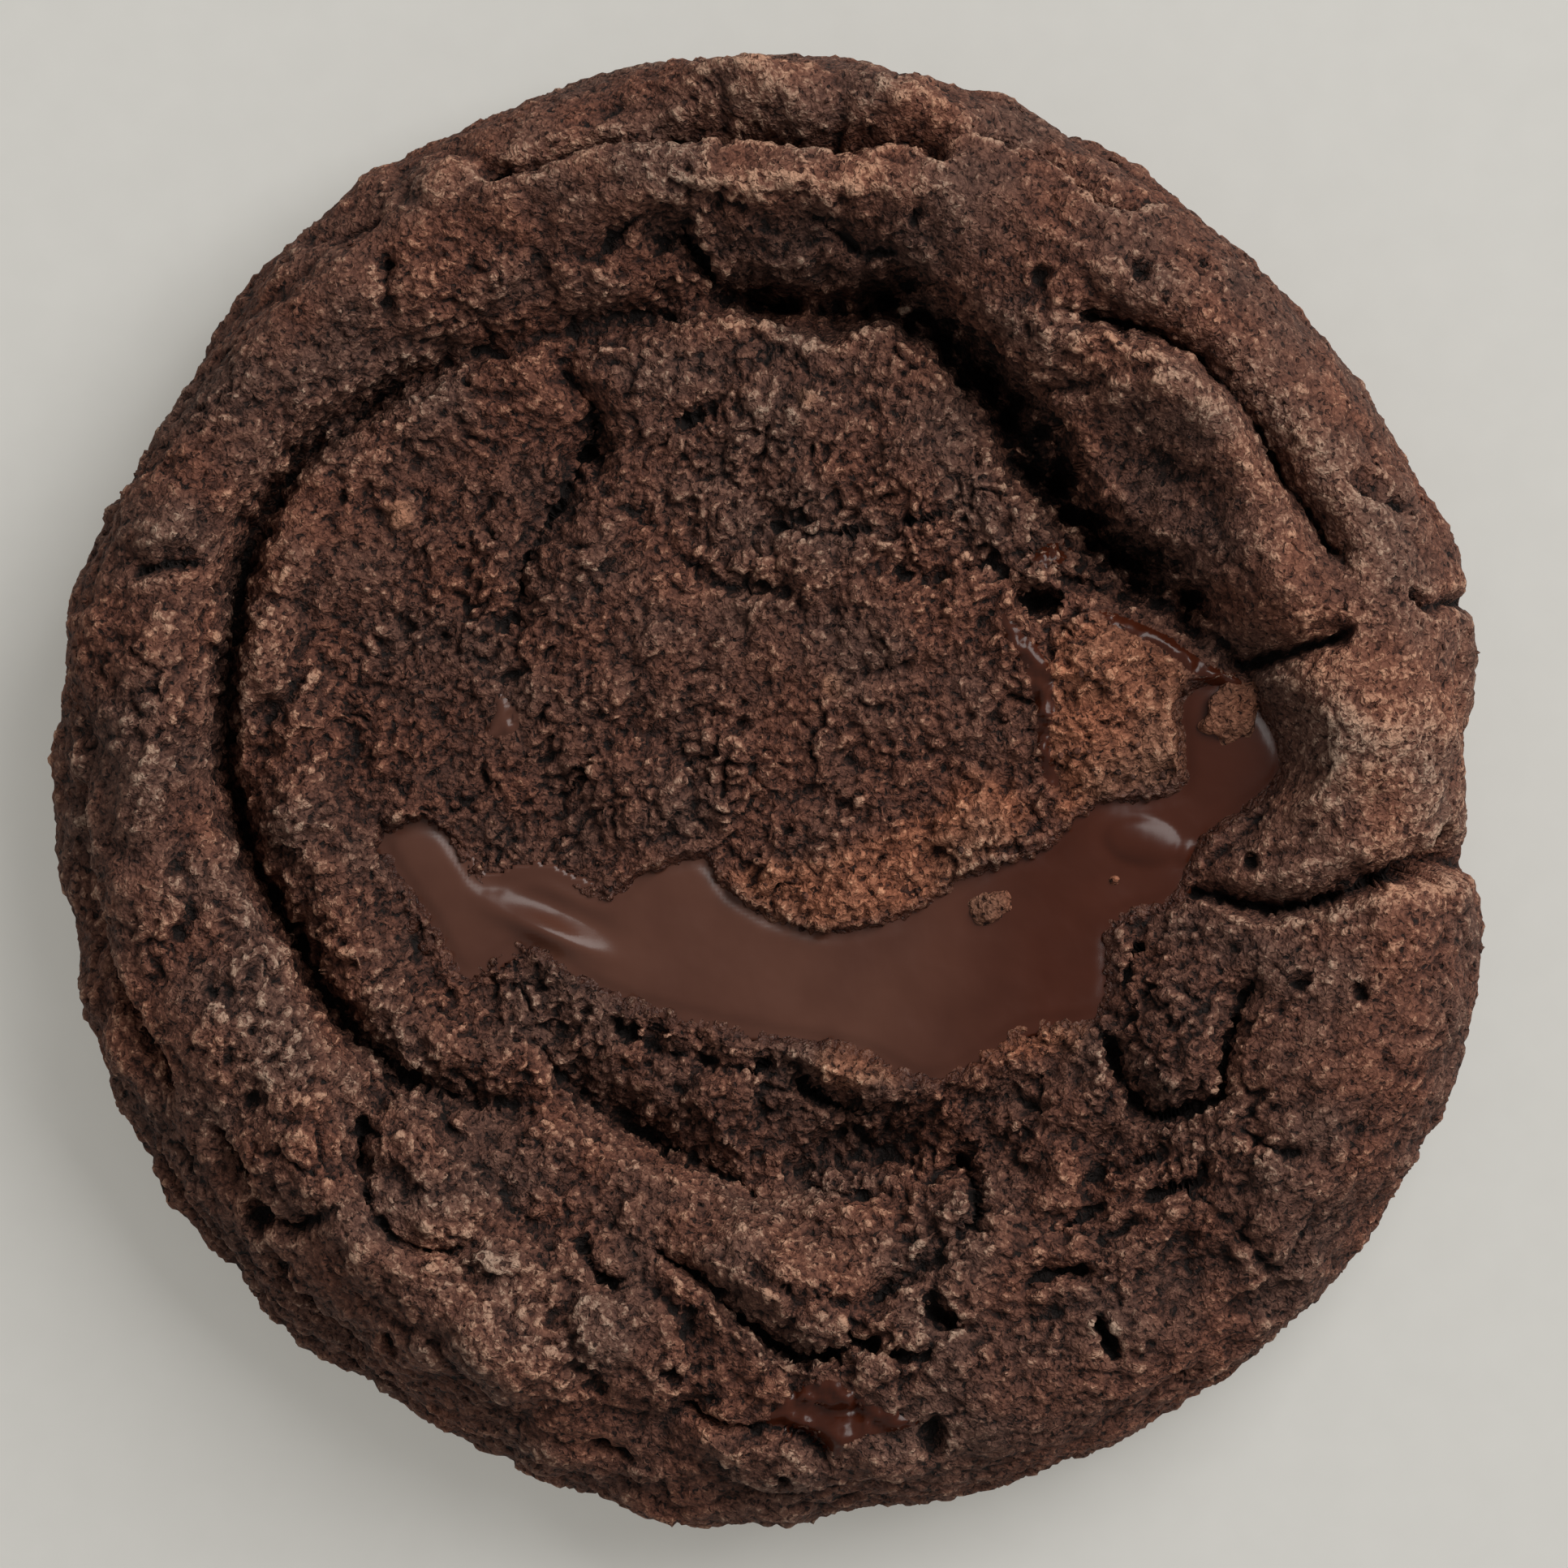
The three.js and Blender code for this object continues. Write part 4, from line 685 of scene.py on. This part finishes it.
def crumb_relief(points):
    """Crumb: clusters with broken cracks between them, grains on the clusters, and scattered pores."""
    warp = vector_noise(points, 0.8, 34)
    warped = points + 0.9 * vector_noise(points, 2.2, 30) + 0.35 * warp
    slightly_warped = points + 0.2 * warp
    broken = smoothstep(gradient_noise(points, 5, 41), -0.05, 0.25)
    broken = broken * smoothstep(gradient_noise(points, 1.5, 45), -0.2, 0.1)
    height = np.zeros(len(points))
    for layer, seed, open_share in zip(CRUMB_LAYERS, (40, 42), (broken, 1)):
        size, dome, spread, meeting, depth, half_width = layer
        near, next_near, chance = cell_noise(warped, size, seed)
        edge = (next_near - near) * size / 2
        height += dome * (0.55 - near) + spread * (chance - 0.5) * smoothstep(edge, 0, meeting)
        height -= depth * open_share * np.exp(-(edge / half_width) ** 2)
    near, _, chance = cell_noise(slightly_warped, GRAIN, 46)
    height += 0.22 * (0.55 - near) + 0.16 * (chance - 0.5)
    near, _, chance = cell_noise(slightly_warped, PORE_CELL, 43)
    pore = np.exp(-(near * PORE_CELL / (0.12 + 0.12 * chance)) ** 2)
    height -= np.where(chance > 0.3, 0.5 * pore, 0)
    return height * crumb_strength(points)


def crumb_strength(points):
    """How rough the crumb is: less so on the right block, the skirt and the top of the rim."""
    x, y = points[:, 0], points[:, 1]
    radius = np.hypot(x, y)
    right = smoothstep(x, 12, 34) * smoothstep(y, -14, -4)
    skirt = smoothstep(radius, 36, 41)
    strength = (0.9 + 0.4 * gradient_noise(points, 9, 38)) * (1 - 0.5 * np.maximum(right, 0.6 * skirt))
    return strength * (1.15 - 0.15 * smoothstep(radius, 24, 30) - 0.2 * smoothstep(y, 28, 34))


# ---- meshes ----

def new_object(name, data):
    """An object with that data, in the scene."""
    piece = bpy.data.objects.new(name, data)
    bpy.context.scene.collection.objects.link(piece)
    return piece


def make_object(name, points, faces, material, attributes=None):
    """A smooth-shaded mesh object from points in millimetres."""
    mesh = bpy.data.meshes.new(name)
    mesh.from_pydata((points * MM).tolist(), [], [face.tolist() for group in faces for face in group])
    mesh.update()
    mesh.polygons.foreach_set("use_smooth", np.ones(len(mesh.polygons), bool))
    for key, values in (attributes or {}).items():
        attribute = mesh.attributes.new(key, "FLOAT", "POINT")
        attribute.data.foreach_set("value", values.astype(np.float32))
    mesh.materials.append(material)
    return new_object(name, mesh)


def zone_mask(x, y, jitter):
    """How much a place belongs to the lighter inner crumb, with uneven edges."""
    mask = np.zeros(x.shape)
    for zone in TAN_ZONES:
        distance = outline_distance(smooth_line(zone, closed=True), x, y) + jitter
        mask = np.maximum(mask, smoothstep(-distance, -0.5, 0.9))
    return mask


def nib_mask(x, y, jitter):
    """How much a place belongs to a pale nib."""
    mask = np.zeros(x.shape)
    for nib_x, nib_y, radius in NIBS:
        inside = radius - np.hypot(x - nib_x, y - nib_y) + 0.3 * jitter
        mask = np.maximum(mask, smoothstep(inside, -0.1, 0.3))
    return mask


def build_dough(material):
    """The whole dough, with what its material needs to know of each place as attributes."""
    angle, share, quads, fan = dough_cells()
    points = surface(angle, share)
    fade = smoothstep(points[:, 2], 0.1, 1.5)
    away = smoothstep(outline_distance(POOL, points[:, 0], points[:, 1]), -0.5, 0.2)
    crumb = crumb_relief(points) * fade * (0.1 + 0.9 * away)
    points += corner_normals(points, quads) * crumb[:, None]
    points[:, 2] = np.maximum(points[:, 2], 0)
    normals = corner_normals(points, quads)
    fine = smoothed(points, quads, 5)
    broad = smoothed(fine, quads, 40)
    x, y = points[:, 0], points[:, 1]
    jitter = layered_noise(points, ZONE_JITTER, 50)
    top = smoothstep(points[:, 2], 3, 6)
    attributes = {
        # crevice and hollow: how far each place lies under its smoothed surface. The material darkens by them
        # as painted shade in crevices and hollows, and a hollow below zero lightens rounded tops as painted
        # light.
        "crevice": np.einsum("ij,ij->i", fine - points, normals) * away,
        "hollow": np.einsum("ij,ij->i", broad - points, normals),
        "tan": zone_mask(x, y, jitter) * top,
        # crust zones: the crust's own lighter and darker tone, with painted light and painted shade laid in
        # by zone
        "crust_and_painted_light": sum(soft_mound(x + jitter, y + jitter, patch) for patch in CRUST_AND_PAINTED_LIGHT),
        "nib": nib_mask(x, y, jitter) * top,
        "wet": smoothstep(-outline_distance(POOL, x, y) - 0.3 * jitter, -1.1, -0.2) * top,
    }
    return make_object("cookie_dough", points, (quads, fan), material, attributes)


def build_sheet(name, outline, margin, top_of, thickness, material):
    """A closed slab of chocolate over an outline, whose top follows a function of plan places."""
    low, high = outline.min(0) - margin, outline.max(0) + margin
    xs = np.arange(low[0], high[0] + SHEET_STEP, SHEET_STEP)
    ys = np.arange(low[1], high[1] + SHEET_STEP, SHEET_STEP)
    gx, gy = (g.ravel() for g in np.meshgrid(xs, ys, indexing="ij"))
    at = np.arange(gx.size).reshape(len(xs), len(ys))
    cells = grid_cells(at)
    middle_x, middle_y = gx[cells].mean(1), gy[cells].mean(1)
    cells = cells[outline_distance(outline, middle_x, middle_y) < margin]
    used, local = np.unique(cells, return_inverse=True)
    cells = local.reshape(-1, 4)
    x, y = gx[used], gy[used]
    distance = outline_distance(outline, x, y)
    top = top_of(x, y, distance)
    points = np.vstack([np.stack([x, y, top], 1), np.stack([x, y, top - thickness], 1)])
    edges = np.vstack([np.stack([cells[:, k], cells[:, (k + 1) % 4]], 1) for k in range(4)])
    known = {tuple(edge) for edge in edges.tolist()}
    border = np.array([edge for edge in edges.tolist() if (edge[1], edge[0]) not in known])
    lower = len(x)
    wall = np.stack([border[:, 1], border[:, 0], border[:, 0] + lower, border[:, 1] + lower], 1)
    return make_object(name, points, (cells, cells[:, ::-1] + lower, wall), material)


def pool_top(x, y, distance):
    """The pool's face: level, with soft waves, a ridge down its left arm, a sunken edge and coated lumps."""
    (way_x, way_y), off_x, off_y = RIDGE_WAY, x - RIDGE_MIDDLE[0], y - RIDGE_MIDDLE[1]
    along, across = off_x * way_x + off_y * way_y, off_y * way_x - off_x * way_y
    ridge = 0.7 * np.exp(-(across / 0.7) ** 2 - (along / 3.2) ** 2)
    valley = 0.4 * np.exp(-((across - 1.6) / 0.8) ** 2 - (along / 3.6) ** 2)
    waves = layered_noise(np.stack([x, y, np.zeros(len(x))], 1), POOL_WAVES, 60)
    coated = sum(lump_relief(lump, x, y) for lump in POOL_LUMPS)
    edge = 0.16 * smoothstep(distance, -0.7, 0.1)
    return POOL_LEVEL + POOL_STAND + waves + ridge - valley + coated - edge


def spot_top(dough):
    """The face of a patch or fleck: a thin film over the dough under it, sinking in at its edge."""
    tree = BVHTree.FromObject(dough, bpy.context.evaluated_depsgraph_get())

    def top_of(x, y, distance):
        ground = []
        for px, py in zip(x, y):
            hit = tree.ray_cast(Vector((px * MM, py * MM, 0.05)), Vector((0, 0, -1)))[0]
            ground.append(hit.z / MM if hit else CENTRE_HEIGHT)
        return np.array(ground) + FILM - 0.5 * smoothstep(distance, -0.7, 0.35)

    return top_of


def ball(subdivisions):
    """Corners and faces of a ball of radius 1."""
    shape = bmesh.new()
    bmesh.ops.create_icosphere(shape, subdivisions=subdivisions, radius=1.0)
    corners = np.array([v.co for v in shape.verts])
    faces = np.array([[v.index for v in f.verts] for f in shape.faces])
    shape.free()
    return corners, faces


def joined(name, pieces, faces, material, attributes=None):
    """One mesh of many pieces of points that all have the same faces."""
    starts = range(0, len(pieces) * len(pieces[0]), len(pieces[0]))
    return make_object(name, np.vstack(pieces), [faces + start for start in starts], material, attributes)


def build_islands(material):
    """Clumps of crumb half sunk in the chocolate."""
    corners, faces = ball(5)
    level = POOL_LEVEL - ISLAND_DEPTH
    pieces = []
    for cx, cy, half_along, half_across, turn, stand, _, _ in ISLANDS:
        along, across = turned(corners[:, 0] * half_along, corners[:, 1] * half_across, -turn)
        points = np.stack([along + cx, across + cy, corners[:, 2] * (stand + ISLAND_HEIGHT) + level], 1)
        lumpy = 1 + layered_noise(points, ISLAND_LUMPS, 80)
        centre = np.array([cx, cy, level])
        pieces.append(centre + (points - centre) * lumpy[:, None])
    tan, wet = (np.repeat(column, len(corners)) for column in np.transpose(ISLANDS)[6:])
    return joined("crumb_islands", pieces, faces, material, {"tan": tan, "wet": wet})


def build_crumbs(dough, material):
    """Loose and half-sunk grains of crumb on the dough's upper faces, joined in one mesh."""
    rng = np.random.default_rng(SEED)
    corners, faces = ball(1)
    places, normals = np.zeros((2, len(dough.data.vertices) * 3), np.float32)
    dough.data.vertices.foreach_get("co", places)
    dough.data.vertices.foreach_get("normal", normals)
    places, normals = places.reshape(-1, 3) / MM, normals.reshape(-1, 3)
    good = (normals[:, 2] > 0.35) & (outline_distance(POOL, places[:, 0], places[:, 1]) > 0.2)
    pieces = []
    for corner in rng.choice(np.flatnonzero(good), CRUMBS, replace=False):
        size = CRUMB_SIZE + CRUMB_SPREAD * rng.random() ** 2
        turn = np.linalg.qr(rng.normal(size=(3, 3)))[0]
        lump = corners * (1 + 0.3 * rng.normal(size=(len(corners), 1))) * rng.uniform(0.6, 1.3, 3)
        pieces.append(lump @ turn * size + places[corner])
    return joined("crumbs", pieces, faces, material)


# ---- materials ----

def connect(tree, node, inputs):
    """Give a node its inputs, each a value or another node's output."""
    for key, value in inputs.items():
        if isinstance(value, bpy.types.NodeSocket):
            tree.links.new(value, node.inputs[key])
        else:
            node.inputs[key].default_value = value


def add(tree, kind, inputs=None, **settings):
    """A new node with its settings and inputs."""
    node = tree.nodes.new(kind)
    for key, value in settings.items():
        setattr(node, key, value)
    connect(tree, node, inputs or {})
    return node


def new_material(name):
    material = bpy.data.materials.new(name)
    material.use_nodes = True
    tree = material.node_tree
    return material, tree, tree.nodes["Principled BSDF"]


def linear(colour):
    """A screen colour of 0 to 255 as the renderer's linear colour."""
    shares = [channel / 255 for channel in colour]
    return [((v + 0.055) / 1.055) ** 2.4 if v > 0.04 else v / 12.92 for v in shares] + [1]


def ramp(tree, factor, stops):
    """A colour ramp with (place, linear colour) stops, the first and the last place first."""
    node = add(tree, "ShaderNodeValToRGB", {"Fac": factor})
    elements = node.color_ramp.elements
    for element, (place, colour) in zip(elements, stops[:2]):
        element.position, element.color = place, colour
    for place, colour in stops[2:]:
        elements.new(place).color = colour
    return node.outputs["Color"]


def tones(tree, factor, stops):
    """A colour ramp with (place, screen colour) stops."""
    return ramp(tree, factor, [(place, linear(colour)) for place, colour in stops])


def math_node(tree, operation, a, b, c=0.0):
    return add(tree, "ShaderNodeMath", {0: a, 1: b, 2: c}, operation=operation).outputs[0]


def vector_node(tree, operation, inputs):
    return add(tree, "ShaderNodeVectorMath", inputs, operation=operation).outputs[0]


def mix_colour(tree, factor, a, b, blend="MIX"):
    inputs = {0: factor, 6: a, 7: b}
    return add(tree, "ShaderNodeMix", inputs, data_type="RGBA", blend_type=blend).outputs[2]


def noise_node(tree, place, size, detail=3.0, roughness=0.55):
    """Noise with bumps of a size in millimetres."""
    return add(tree, "ShaderNodeTexNoise", {
        "Vector": place, "Scale": 1 / (size * MM), "Detail": detail, "Roughness": roughness,
    }).outputs["Fac"]


def attribute(tree, name):
    return add(tree, "ShaderNodeAttribute", attribute_name=name).outputs["Fac"]


def add_shares(tree, start, parts):
    """Start plus each part times its share."""
    for part, share in parts:
        start = math_node(tree, "MULTIPLY_ADD", part, share, start)
    return start


def map_range(tree, value, low, high, first=0.0, last=1.0, kind="LINEAR"):
    """Value moved from the range low to high to the range first to last."""
    inputs = {"Value": value, "From Min": low, "From Max": high, "To Min": first, "To Max": last}
    return add(tree, "ShaderNodeMapRange", inputs, interpolation_type=kind).outputs[0]


def bump(tree, height, strength, distance):
    """Fine relief of the shading from a height in millimetres."""
    inputs = {"Height": height, "Strength": strength, "Distance": distance * MM}
    return add(tree, "ShaderNodeBump", inputs).outputs[0]


# Screen colours of the dough, the lighter inner crumb and the nibs, each at its place on the scale of tones,
# with the two ends first.
DOUGH_TONES = ((0.22, (14, 6, 4)), (0.95, (168, 132, 110)), (0.38, (46, 25, 18)), (0.58, (84, 53, 42)),
               (0.76, (112, 76, 61)))
TAN_TONES = ((0.22, (36, 17, 10)), (0.95, (196, 150, 120)), (0.38, (82, 48, 34)), (0.58, (122, 78, 58)),
             (0.76, (152, 103, 79)))
NIB_TONES = ((0.3, (80, 50, 38)), (0.75, (150, 108, 86)))
COATED = (58, 30, 22)
# Slow drift of the dough's colour between warmer and cooler, as factors of red, green and blue.
DRIFT = ((0.36, (1.10, 0.97, 0.90, 1)), (0.64, (0.90, 1.02, 1.10, 1)))
# The lighter tones are the chocolate's colour with a painted sheen; the deep tones are its own colour.
WARM_WITH_PAINTED_SHEEN_TONES = ((0.35, (74, 44, 34)), (0.65, (82, 51, 40)))
DEEP_TONES = ((0.35, (58, 24, 12)), (0.65, (66, 30, 18)))
TABLE_TONES = ((0.3, (154, 154, 152)), (0.7, (157, 157, 155)))


def dough_material():
    """Baked cocoa dough: matt, crumbly, lighter where it broke open; painted shade darkens its pores,
    crevices and hollows, and painted light brightens its grain tops and rounded tops.
    """
    material, tree, shader = new_material("baked_cocoa_dough")
    place = add(tree, "ShaderNodeTexCoord").outputs["Object"]
    shift = add(tree, "ShaderNodeTexNoise", {"Vector": place, "Scale": 1 / (0.45 * MM), "Detail": 1.0})
    shift = vector_node(tree, "SUBTRACT", {0: shift.outputs["Color"], 1: (0.5, 0.5, 0.5)})
    shift = vector_node(tree, "SCALE", {0: shift, "Scale": 0.6 * MM})
    bent = vector_node(tree, "ADD", {0: place, 1: shift})
    grain = add(tree, "ShaderNodeTexVoronoi", {"Vector": bent, "Scale": 1 / (0.34 * MM)})
    grain_tone = add(tree, "ShaderNodeSeparateColor", {0: grain.outputs["Color"]}).outputs[0]
    dome = math_node(tree, "SUBTRACT", 0.55, grain.outputs["Distance"])
    broad = noise_node(tree, place, 7, 2)
    middle = noise_node(tree, place, 1.5, 2, 0.6)
    fine = noise_node(tree, bent, 0.2, 2, 0.6)
    hole = noise_node(tree, bent, 0.42, 1, 0.5)
    pit = map_range(tree, hole, 0.40, 0.32, kind="SMOOTHSTEP")

    # Tone: the crumb's own mottle and grain colour, plus painted light on grain tops (dome) and rounded tops,
    # painted shade in pits, crevices and hollows, and the crust zones with their own tone and painted light
    # and shade.
    tone = add_shares(tree, math_node(tree, "MULTIPLY_ADD", fine, 0.50, 0.11), (
        (middle, 0.26), (grain_tone, 0.14), (dome, 0.24), (pit, -0.24), (attribute(tree, "crevice"), -0.9),
        (attribute(tree, "hollow"), -0.20), (attribute(tree, "crust_and_painted_light"), 0.18),
    ))
    colour = tones(tree, tone, DOUGH_TONES)
    colour = mix_colour(tree, attribute(tree, "tan"), colour, tones(tree, tone, TAN_TONES))
    colour = mix_colour(tree, attribute(tree, "nib"), colour, tones(tree, tone, NIB_TONES))
    colour = mix_colour(tree, 1.0, colour, ramp(tree, broad, DRIFT), "MULTIPLY")
    wet = attribute(tree, "wet")
    colour = mix_colour(tree, math_node(tree, "MULTIPLY", wet, 0.6), colour, linear(COATED))
    height = add_shares(tree, math_node(tree, "MULTIPLY", fine, 0.16), ((dome, 0.22), (pit, -0.16)))
    connect(tree, shader, {
        "Base Color": colour, "Roughness": map_range(tree, wet, 0, 1, 0.8, 0.42), "Specular IOR Level": 0.25,
        "Normal": bump(tree, height, 1.0, 1.0),
    })
    return material


def chocolate_material():
    """Melted chocolate: smooth, satin, with faint streaks and a soft uneven face, painted lighter on the
    pool's left and middle as a painted sheen.
    """
    material, tree, shader = new_material("melted_chocolate")
    place = add(tree, "ShaderNodeTexCoord").outputs["Object"]
    streaks = noise_node(tree, place, 6, 2)
    plan = add(tree, "ShaderNodeSeparateXYZ", {0: place}).outputs
    # Painted sheen: the left of the pool, above the patch, gets the lighter tones, and the rest keeps the
    # deep ones.
    left = map_range(tree, plan[0], 17 * MM, 6 * MM)
    above = map_range(tree, plan[1], -28 * MM, -24 * MM)
    warm_with_painted_sheen, deep = tones(tree, streaks, WARM_WITH_PAINTED_SHEEN_TONES), tones(tree, streaks, DEEP_TONES)
    colour = mix_colour(tree, math_node(tree, "MULTIPLY", left, above), deep, warm_with_painted_sheen)
    gloss = noise_node(tree, place, 2.5, 2)
    height = add_shares(tree, math_node(tree, "MULTIPLY", gloss, 0.5), ((streaks, 0.5),))
    connect(tree, shader, {
        "Base Color": colour, "Roughness": map_range(tree, gloss, 0, 1, 0.18, 0.36),
        "Specular IOR Level": 0.16, "Coat Weight": 0.16, "Coat Roughness": 0.2,
        "Normal": bump(tree, height, 0.35, 0.5),
    })
    return material


def table_material():
    """Plain pale matt table top that glows faintly: painted light that lifts the shadows on it."""
    material, tree, shader = new_material("pale_table")
    place = add(tree, "ShaderNodeTexCoord").outputs["Object"]
    mottle = noise_node(tree, place, 3, 3)
    connect(tree, shader, {
        "Base Color": tones(tree, mottle, TABLE_TONES), "Roughness": 0.7,
        # The glow is painted light, not a lamp.
        "Emission Color": (1.0, 0.96, 0.86, 1), "Emission Strength": 0.235,
    })
    return material


# ---- stage, light and camera ----

CAMERA_LENS = 250.0
SENSOR = 36.0
FRAME_WIDTH = 96.6                 # what the picture's 1932 pixels span at the widest ring
FRAME_CENTRE = (1.0, 0.3)
TABLE_WIDTH = 1200
LAMP_BEARING, LAMP_ELEVATION = 40, 45      # degrees
LAMP_SIZE, LAMP_DISTANCE = 0.9, 1.2        # metres
LAMP_POWER, LAMP_COLOUR = 16.5, (1.0, 0.985, 0.965)
SKY_STRENGTH, SKY_COLOUR = 0.36, (1.0, 0.975, 0.94, 1)


def build_stage():
    """The pale table top."""
    mesh = bpy.data.meshes.new("table")
    half = TABLE_WIDTH / 2 * MM
    corners = [(-half, -half, 0), (half, -half, 0), (half, half, 0), (-half, half, 0)]
    mesh.from_pydata(corners, [], [(0, 1, 2, 3)])
    mesh.materials.append(table_material())
    table = new_object("table", mesh)


def build_camera():
    """A long lens straight above the cookie."""
    data = bpy.data.cameras.new("camera")
    data.lens = CAMERA_LENS
    data.sensor_width = SENSOR
    data.clip_start = 0.01
    data.clip_end = 10
    camera = new_object("camera", data)
    height = WIDEST_HEIGHT + FRAME_WIDTH * CAMERA_LENS / SENSOR
    camera.location = (FRAME_CENTRE[0] * MM, FRAME_CENTRE[1] * MM, height * MM)
    bpy.context.scene.camera = camera


def build_light():
    """One large soft lamp from the upper right and a dim even sky."""
    scene = bpy.context.scene
    scene.view_settings.view_transform = "Standard"
    scene.world = bpy.data.worlds.new("studio")
    scene.world.use_nodes = True
    sky = scene.world.node_tree.nodes["Background"].inputs
    sky["Color"].default_value = SKY_COLOUR
    sky["Strength"].default_value = SKY_STRENGTH
    data = bpy.data.lights.new("key", "AREA")
    data.size = LAMP_SIZE
    data.energy = LAMP_POWER
    data.color = LAMP_COLOUR
    turn, rise = math.radians(LAMP_BEARING), math.radians(LAMP_ELEVATION)
    away = Vector((math.cos(turn) * math.cos(rise), math.sin(turn) * math.cos(rise), math.sin(rise)))
    lamp = new_object("key", data)
    lamp.location = away * LAMP_DISTANCE
    lamp.rotation_euler = away.to_track_quat("Z", "Y").to_euler()


# ---- the cookie ----

dough_finish = dough_material()
chocolate_finish = chocolate_material()
dough = build_dough(dough_finish)
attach(dough, "root")
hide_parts("cookie")

on_dough = spot_top(dough)
for node, outline, margin, top_of, thickness in (
    ("chocolate_pool", POOL_OUTLINE, 0.8, pool_top, 1.6),
    ("chocolate_patch", PATCH_OUTLINE, 0.5, on_dough, 1.0),
    ("chocolate_fleck_left", LEFT_FLECK_OUTLINE, 0.4, on_dough, 0.9),
    ("chocolate_fleck_right", RIGHT_FLECK_OUTLINE, 0.4, on_dough, 0.9),
):
    curve = smooth_line(outline, closed=True)
    sheet = build_sheet("melted_" + node, curve, margin, top_of, thickness, chocolate_finish)
    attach(sheet, "root")
    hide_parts(node)

for index, outline in enumerate(SMEAR_OUTLINES):
    curve = smooth_line(outline, closed=True)
    smear = build_sheet(f"smear_{index + 1}", curve, 0.3, on_dough, 0.8, chocolate_finish)
    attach(smear, "root")

for crumbs in (build_islands(dough_finish), build_crumbs(dough, dough_finish)):
    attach(crumbs, "root")

build_stage()
build_light()
build_camera()
